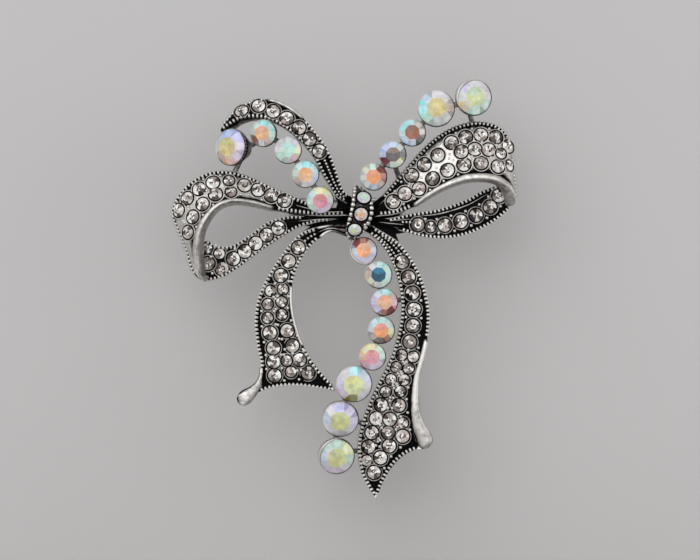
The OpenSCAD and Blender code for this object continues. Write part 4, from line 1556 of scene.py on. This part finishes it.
# Courses of the ribbons, and of the tails' smooth ends, in steps of the front view's grid.
LEFT_ARCH = Line(
    (57, 4.5, 0, 53.5, -3.5, 0), (51.5, 9.5, 0, 43, 3, 0), (47.5, 19, 0.05, 35, 15, 0.1),
    (43, 33, 0.1, 29, 25, 0.2), (35.5, 51, 0.2, 21, 41, 0.35), (25, 66, 0.25, 10, 55, 0.45),
    (10, 83, 0.25, -5, 69, 0.5), (-9, 96, 0.1, -22, 79, 0.5), (-31, 101.5, -0.1, -37, 82, 0.5),
    (-53, 94, -0.35, -52, 80.5, 0.45), (-66.5, 80.5, -0.3, -64, 74, 0.3), (-75, 69.5, -0.1, -71, 68.5, 0.1))
LEFT_BAND = Line(
    (54.5, -6.5, 0, 52.5, -15.5, 0), (35, -7.5, 0, 33, -16, 0), (13, -0.5, -0.05, 8, -14.5, 0.1),
    (-15, 11, -0.1, -16, -10.5, 0.3, 1, 1.2, 0), (-41, 23, -0.1, -41, -4, 0.6, 1, 1.2, 0),
    (-63, 29.5, -0.15, -60, -2.5, 0.85, 1, 1.3, 0), (-84, 28.5, -0.2, -75, -8, 1, 1, 1.5, 0),
    (-103, 18.5, -0.3, -85, -19.5, 1.05, 1, 2, 0), (-117, 3, -0.5, -91, -31, 1.05, 1, 2.4, 0),
    (-122, -12, -0.6, -94, -44, 1, 1, 2.4, 0), (-116, -28, -0.4, -95.5, -57, 0.9, 1, 2.2, 0),
    (-107.5, -49, 0, -94, -69, 0.75), (-102.5, -68, 0.3, -90, -77.5, 0.6),
    (-92, -81, 0.4, -85.5, -83.5, 0.45))
LEFT_RETURN = Line(
    (52, -21, -0.1, 52, -17.5, -0.1), (35, -20.5, -0.15, 33, -17.5, -0.15),
    (20, -23.5, -0.25, 13, -16.5, -0.25), (4, -29, -0.35, -4, -15.5, -0.35),
    (-16, -41, -0.45, -25, -21, -0.45), (-36, -54.5, -0.5, -44, -34.5, -0.5),
    (-54, -68, -0.55, -62, -45, -0.55), (-71, -78, -0.55, -78, -45, -0.55),
    (-86, -81.5, -0.55, -93, -37, -0.55), (-89.5, -78, -0.55, -98, -37, -0.55))
RIGHT_BAND = Line(
    (82.5, -3.5, 0, 83.5, -16.5, 0), (97, 14.5, 0, 103, -14, 0.1),
    (111, 30.5, -0.05, 120, -7.5, 0.3, 1, 1.2, 0), (126, 48, -0.1, 137, 3.5, 0.6, 1, 1.6, 0),
    (143, 64, -0.1, 154, 12.5, 0.85, 1, 1.8, 0), (163, 75, -0.15, 172, 18.5, 1, 1, 2.2, 0),
    (185, 79.5, -0.2, 189, 20, 1.05, 1, 2.2, 0), (204, 75.5, -0.35, 203, 18, 1.05, 1, 2.2, 0),
    (215, 65, -0.5, 211, 13.5, 1, 1, 2.2, 0), (218.5, 50, -0.6, 216.5, 9, 0.9, 1, 2, 0),
    (220.5, 31, -0.5, 219.5, 3, 0.75, 1, 1.6, 0), (223, 12, -0.1, 220, -3, 0.5),
    (223.5, 0, 0.2, 218.5, -8.5, 0.4))
RIGHT_RETURN = Line(
    (81, -23.5, -0.1, 83.5, -18.5, -0.1), (98, -27.5, -0.15, 99, -17.5, -0.15),
    (113, -32.5, -0.25, 115, -13.5, -0.25), (128, -37, -0.35, 130, -11, -0.35),
    (146, -39, -0.4, 145, -8.5, -0.4), (165, -37.5, -0.45, 161, -3.5, -0.45),
    (184, -31.5, -0.5, 176, 2.5, -0.5), (202, -22, -0.55, 189, 10, -0.55),
    (217, -10, -0.55, 204, 15.5, -0.55))
LEFT_TAIL = Line(
    (50.5, -24.5, -0.1, 53.5, -36.5, -0.1), (36, -24.5, -0.1, 38.5, -32, -0.1),
    (21, -27.5, -0.05, 28, -38, -0.05), (7, -33, 0, 16.5, -49, 0), (-6, -46.5, 0.05, 7, -63.5, 0.05),
    (-18, -63.5, 0.1, 1, -80, 0.1), (-28.5, -81, 0.1, -1, -96, 0.15), (-36.5, -101, 0.1, 0.5, -112.5, 0.2),
    (-39, -122, 0.1, 5, -131, 0.2), (-37, -144, 0.1, 12.5, -149, 0.2), (-33, -164, 0.05, 22.5, -165, 0.15),
    (-34.5, -179, 0, 32.5, -177, 0.1, 1.2, 1, 2), (-45, -189, 0, 38, -183.5, 0.1, 4, 1, 7),
    (-55.5, -196, 0.05, 41.5, -188.5, 0.1, 6.6, 1, 11), (-51, -204.5, 0.05, 43, -191.5, 0.1, 5.6, 1, 15))
RIGHT_TAIL = Line(
    (73, -32, -0.1, 79.5, -25.5, -0.1), (85, -42, -0.05, 94, -34, -0.05), (94, -54, 0, 106, -42, 0),
    (100.5, -68, 0.05, 117.5, -55.5, 0.05), (105, -84, 0.1, 127.5, -73, 0.1),
    (107.5, -101, 0.15, 134, -93, 0.15), (107, -118, 0.2, 137.5, -114, 0.2, 1, 1.2, 0),
    (104, -134, 0.2, 136, -137, 0.2, 1, 1.5, 0), (99, -152, 0.2, 131.5, -160, 0.2, 1, 1.8, 0),
    (91, -170, 0.15, 126.5, -179, 0.15, 1, 2, 0), (81, -190, 0.1, 125.5, -198, 0.15, 1, 2.4, 0),
    (72.5, -209.5, 0.05, 128.5, -216.5, 0.15, 1, 3.4, 0), (66.5, -228.5, 0, 136, -231, 0.15, 1, 5.2, 0),
    (64, -249, -0.05, 139, -239.5, 0.1, 1, 5.4, 2), (67, -272, -0.1, 138, -243.5, 0.05, 1, 4.6, 6),
    (74, -287, -0.1, 135.5, -246, 0, 1, 4, 10), (83, -301, -0.1, 132.5, -248, 0, 1, 3.4, 13))
KNOT = Line(
    (60, 13, 0.5, 67, 12.5, 0.5), (59.5, 6, 1.1, 76.5, 3, 1.1), (58.5, -2, 1.45, 80, -6, 1.45),
    (56.5, -13, 1.55, 80, -15, 1.55), (53.5, -25, 1.35, 75.5, -25.5, 1.35), (53, -33, 0.95, 68, -34, 0.95),
    (55.5, -38.5, 0.5, 61.5, -39, 0.5))
CURL = Line(
    (-33.5, -168, 0.05, -29.8, -168, 0.05), (-34.5, -177, 0.05, -30.7, -177, 0.05),
    (-38.5, -183, 0.05, -31.8, -184.5, 0.05), (-44, -187.2, 0.05, -33.5, -190, 0.05),
    (-50, -190, 0.05, -36.5, -195, 0.05), (-54, -193.3, 0.05, -39.5, -199, 0.05),
    (-56.3, -198, 0.05, -43, -203.2, 0.05), (-55, -202.5, 0.05, -47.5, -205.6, 0.05),
    (-52.6, -205, 0.05, -50.5, -205.8, 0.05))
FLARE = Line(
    (119, -196, 0.18, 126, -197, 0.18), (117.3, -208, 0.18, 126.8, -208, 0.18),
    (117.8, -219, 0.18, 128.6, -217.5, 0.18), (119.5, -229.5, 0.17, 132, -226.5, 0.17),
    (121.8, -237.5, 0.15, 137.3, -233, 0.15), (124, -244, 0.13, 139.6, -238.5, 0.13),
    (127, -248, 0.11, 139, -243.5, 0.11), (131, -249.3, 0.1, 135.5, -248, 0.1))


def knot_coats() -> tuple[Coat, ...]:
    """Lists the coats of the knot's stones.

    Returns:
        Three coats, from the top.
    """
    pale = "pearl mist pearl mist pearl lilac pearl mint"
    middle = "peach gold" + 2 * " tan pearl tan mist"
    return coat(f"mint lime {pale}"), coat(middle), coat(f"lime pearl {pale}")


def ribbons() -> list[Ribbon]:
    """Lists the eight cast ribbons.

    Returns:
        The ribbons with their rows of stones and their beaded edges.
    """
    s = SMALL_D
    return [
        Ribbon("left_arch", LEFT_ARCH, "left_arch_stones",
               (Row(5, 4.2, 7.2, 0.53, 0.56), lone(8.03, 0.42), lone(8.9, 0.5)),
               ((0, 0.2, 5.8), (0, 7.9, 10.7), (1, 0.2, 10.7)), ((0.4, 3.7, 0.5),), (0.97, 0.95),
               round_end=0.6),
        Ribbon("left_loop_band", LEFT_BAND, "left_band_stones",
               (Row(4, 2.75, 4.35, 0.46, 0.42), lone(5.1, 0.34, s), lone(5.05, 0.69, s),
                Row(4, 5.93, 8.4, 0.335, 0.225), Row(4, 5.93, 9, 0.66, 0.64)),
               ((0, 1.4, 12.3), (1, 0.1, 3)), (), (0.95, 0.4), (2.2, 4.2), rim_black=-0.01,
               beading=BAND_BEADING, folds=((0.2, 2.3, 0.5),), round_end=0.7),
        Ribbon("left_loop_return", LEFT_RETURN, "left_return_stones",
               (Row(5, 3.72, 6.13, 0.5, 0.45), Row(2, 6.85, 7.6, 0.74, 0.8, s), Row(2, 6.9, 7.7, 0.27, 0.42)),
               ((0, 0.9, 8.3), (1, 2.3, 8.3)), (), (0.97, 0.95), root_dark=(1.5, 3),
               folds=((0.4, 2.7, 0.5),)),
        Ribbon("right_loop_band", RIGHT_BAND, "right_band_stones",
               (Row(2, 1, 1.75, 0.57, 0.56), Row(6, 2.55, 7.1, 0.7, 0.735), Row(3, 2.35, 3.9, 0.3, 0.36),
                Row(3, 5.05, 6.47, 0.49, 0.49), lone(7.33, 0.48, s),
                Row(5, 4.65, 8.05, 0.27, 0.22), lone(8.43, 0.53, s)),
               ((0, 0.5, 11.5), (1, 0.15, 1.9)), (), (0.95, 0.34), (1.2, 2.8), (0.3, 1.4), rim_black=-0.02,
               beading=BAND_BEADING, folds=((0.2, 1.6, 0.3),), round_end=0.9),
        Ribbon("right_loop_return", RIGHT_RETURN, "right_return_stones",
               (lone(2.72, 0.46), lone(3.53, 0.4, s), Row(4, 4.36, 7.08, 0.43, 0.45), lone(7.82, 0.62)),
               ((0, 1.7, 8), (1, 0.8, 8)), ((1.6, 2.3, 0.55),), (0.97, 0.95),
               folds=((0.2, 1.8, 0.4), (0.5, 2.2, 0.7), (2.4, 7.3, 0.82))),
        Ribbon("left_tail", LEFT_TAIL, "left_tail_stones",
               (Row(3, 3.54, 5.3, 0.48, 0.43), Row(3, 6.3, 7.66, 0.29, 0.32, s),
                Row(2, 8.37, 9.12, 0.34, 0.34), Row(2, 9.84, 10.84, 0.26, 0.24),
                Row(3, 5.9, 7.3, 0.66, 0.68, s), Row(4, 8.11, 10.65, 0.745, 0.775),
                Row(2, 9.75, 10.55, 0.51, 0.51, s)),
               ((0, 2, 10.2), (1, 2.2, 5.3), (1, 9, 14)), ((2.1, 3.1, 0.5),), (0.62, 0.92), (1, 2.2),
               (0.5, 1.6), end_beads=(0.27, 1), rim_black=-0.12, beading=TAIL_BEADING,
               paddles=(Paddle(CURL),), folds=((0.1, 1.9, 0.5),)),
        Ribbon("right_tail", RIGHT_TAIL, "right_tail_stones",
               (Row(6, 3.02, 7.33, 0.5, 0.44), Row(4, 8.03, 9.98, 0.3, 0.26, s),
                Row(4, 10.66, 13.02, 0.25, 0.155), lone(13.68, 0.115, s), lone(14.75, 0.165),
                Row(4, 7.98, 9.83, 0.65, 0.58, s), lone(10.55, 0.59), lone(11.52, 0.645, s),
                lone(12.5, 0.615), Row(2, 11.37, 12.2, 0.44, 0.415), lone(13.24, 0.43), lone(13.93, 0.3)),
               ((0, 0.2, 16), (1, 0.2, 7)), ((0.5, 2.6, 0.36), (0.8, 2.7, 0.64)), (0.97, 0.92), (2, 5),
               end_beads=(0, 0.84), rim_black=-0.12, beading=TAIL_BEADING, paddles=(Paddle(FLARE),)),
        Ribbon("knot", KNOT, "knot_stones", (Row(3, 1.47, 4.32, 0.57, 0.43, KNOT_STONE_D),),
               ((0, 0.05, 5.8), (1, 0.05, 5.8)), (), (0.7, 0.7), crown_h=0.5, back_h=3.0, start=0.0,
               beading=KNOT_BEADING, coats=knot_coats()),
    ]


def webs() -> list[Web]:
    """Lists the black webs by the knot, which are painted shade between the ribbons.

    Returns:
        A web for each gap between neighbours.
    """
    return [
        Web(Bank(LEFT_ARCH, 1, 1.2), Bank(LEFT_BAND, 0, 0.6)),
        Web(Bank(LEFT_BAND, 1, 2.5), Bank(LEFT_RETURN, 1, 3.2)),
        Web(Bank(LEFT_RETURN, 0, 2.6), Bank(LEFT_TAIL, 0, 2.8)),
        Web(Bank(RIGHT_BAND, 1, 1.5), Bank(RIGHT_RETURN, 1, 1.75)),
        Web(Bank(RIGHT_RETURN, 0, 2.0), Bank(RIGHT_TAIL, 1, 2.0), 0.8),
        Web(Bank(RIGHT_BAND, 0, 0.5), Bank(KNOT, 1, 1.0, start=2.6, depth=2.0)),
    ]


def sprays() -> list[Spray]:
    """Lists the three sprays.

    Returns:
        The sprays with the colours of their stones.
    """
    m, g = MID_D, LARGE_D
    return [
        Spray("left_spray", LEFT_ARCH, 1, 0.1, 1.4, 0.3, (1.45, 1), (m, m, m, m, g),
              ((0, -0.2), (0, -0.1), (0, 0), (-0.25, 0), (-0.7, 0.05)),
              (coat("pink coral yellow lime mist orchid orchid mint mint aqua"),
               coat("peach orange cyan aqua sky pearl pearl tan mint aqua"),
               coat("mint aqua mist lilac lime pink mist mint pearl mist"),
               coat("peach coral cyan aqua mint tan pearl rust mist mint"),
               coat("gold khaki blue iris orchid orchid peach tan mist blue"))),
        Spray("right_spray", RIGHT_BAND, 0, 0.65, 0.82, 0.24, (1.1, 1), (m, m, m, g, g),
              ((0, 0), (0.05, 0), (0, 0.05), (0.05, 0.1), (0.25, 0.1)),
              (coat("orange coral mint wine rust tan sky mist mist lime"),
               coat("smoke tan sky mist smoke lime mint wine blue blue"),
               coat("rust smoke aqua tan mist smoke sky sky aqua cyan"),
               coat("gold yellow pearl pearl tan mist mist mint cyan sky"),
               coat("lime mint pearl pearl pearl mint mint gold mist lilac")),
              bright={5: 135}),
        Spray("tail_spray", RIGHT_TAIL, 0, 0.4, 0.65, 0.04, (1, 0.95), (m, m, m, m, m, g, g, g),
              ((0, 0.1), (0, 0), (0.1, 0), (0, -0.05), (0, -0.05), (0, -0.15), (0, -0.3), (0.1, -0.25)),
              (coat("orange peach rust tan sky lilac lilac lilac sky wine"),
               coat("teal peacock aqua mint mint mint mist lime tan mist"),
               coat("peach coral aqua tan pink wine rust lilac lilac sky"),
               coat("orange pink aqua mint lime rust smoke tan sky aqua"),
               coat("pink coral yellow mint mint orchid orchid pink peach yellow"),
               coat("lime yellow cyan sky pearl pearl olive orchid lilac pearl"),
               coat("khaki lime iris lilac lilac pearl pearl pearl sky pearl"),
               coat("khaki lime mint lime mint pearl orchid lilac sky mint")),
              bright={1: 225, 8: 165}),
    ]


def main() -> None:
    """Builds the brooch piece by piece, then the studio round it."""
    logging.basicConfig(level=logging.INFO, format="%(name)s %(message)s")
    silver = AntiquedSilver().material()
    cup_silver = AntiquedSilver("silver_plate_blackened", patina_and_shade=0.6).material()
    plate = AntiquedSilver("silver_plate_tumbled", patina_and_shade=0.12, polished_roughness=0.3).material()
    steel = DrawnSteel().material()
    clear = FoiledGlass("crystal_glass_foiled").material()
    iridescent = FoiledGlass("crystal_glass_foiled_iridescent", roughness=0.08, ior=1.5,
                             fire_mm=0.9, fire=0.14, clouded=0.45).material()
    for ribbon in ribbons():
        ribbon.build(silver, iridescent if ribbon.coats else clear)
    # The webs are black sheets of painted shade in the gaps between the ribbons by the knot.
    shade_webs = MeshStock()
    for web in webs():
        web.build(shade_webs)
    shade_webs.piece("root_shade_webs", silver, False)
    for spray in sprays():
        spray.build(silver, iridescent)
        Fitting(f"{spray.name}_collets", 0).dress(cup_silver)
    for node in ("hinge_bracket", "catch_housing"):
        Fitting(node).dress(plate)
    for node in ("hinge_rivet", "pin_stem", "catch_lock"):
        Fitting(node, 0.04).dress(steel)
    Studio().build()


if __name__ == "__main__":
    main()
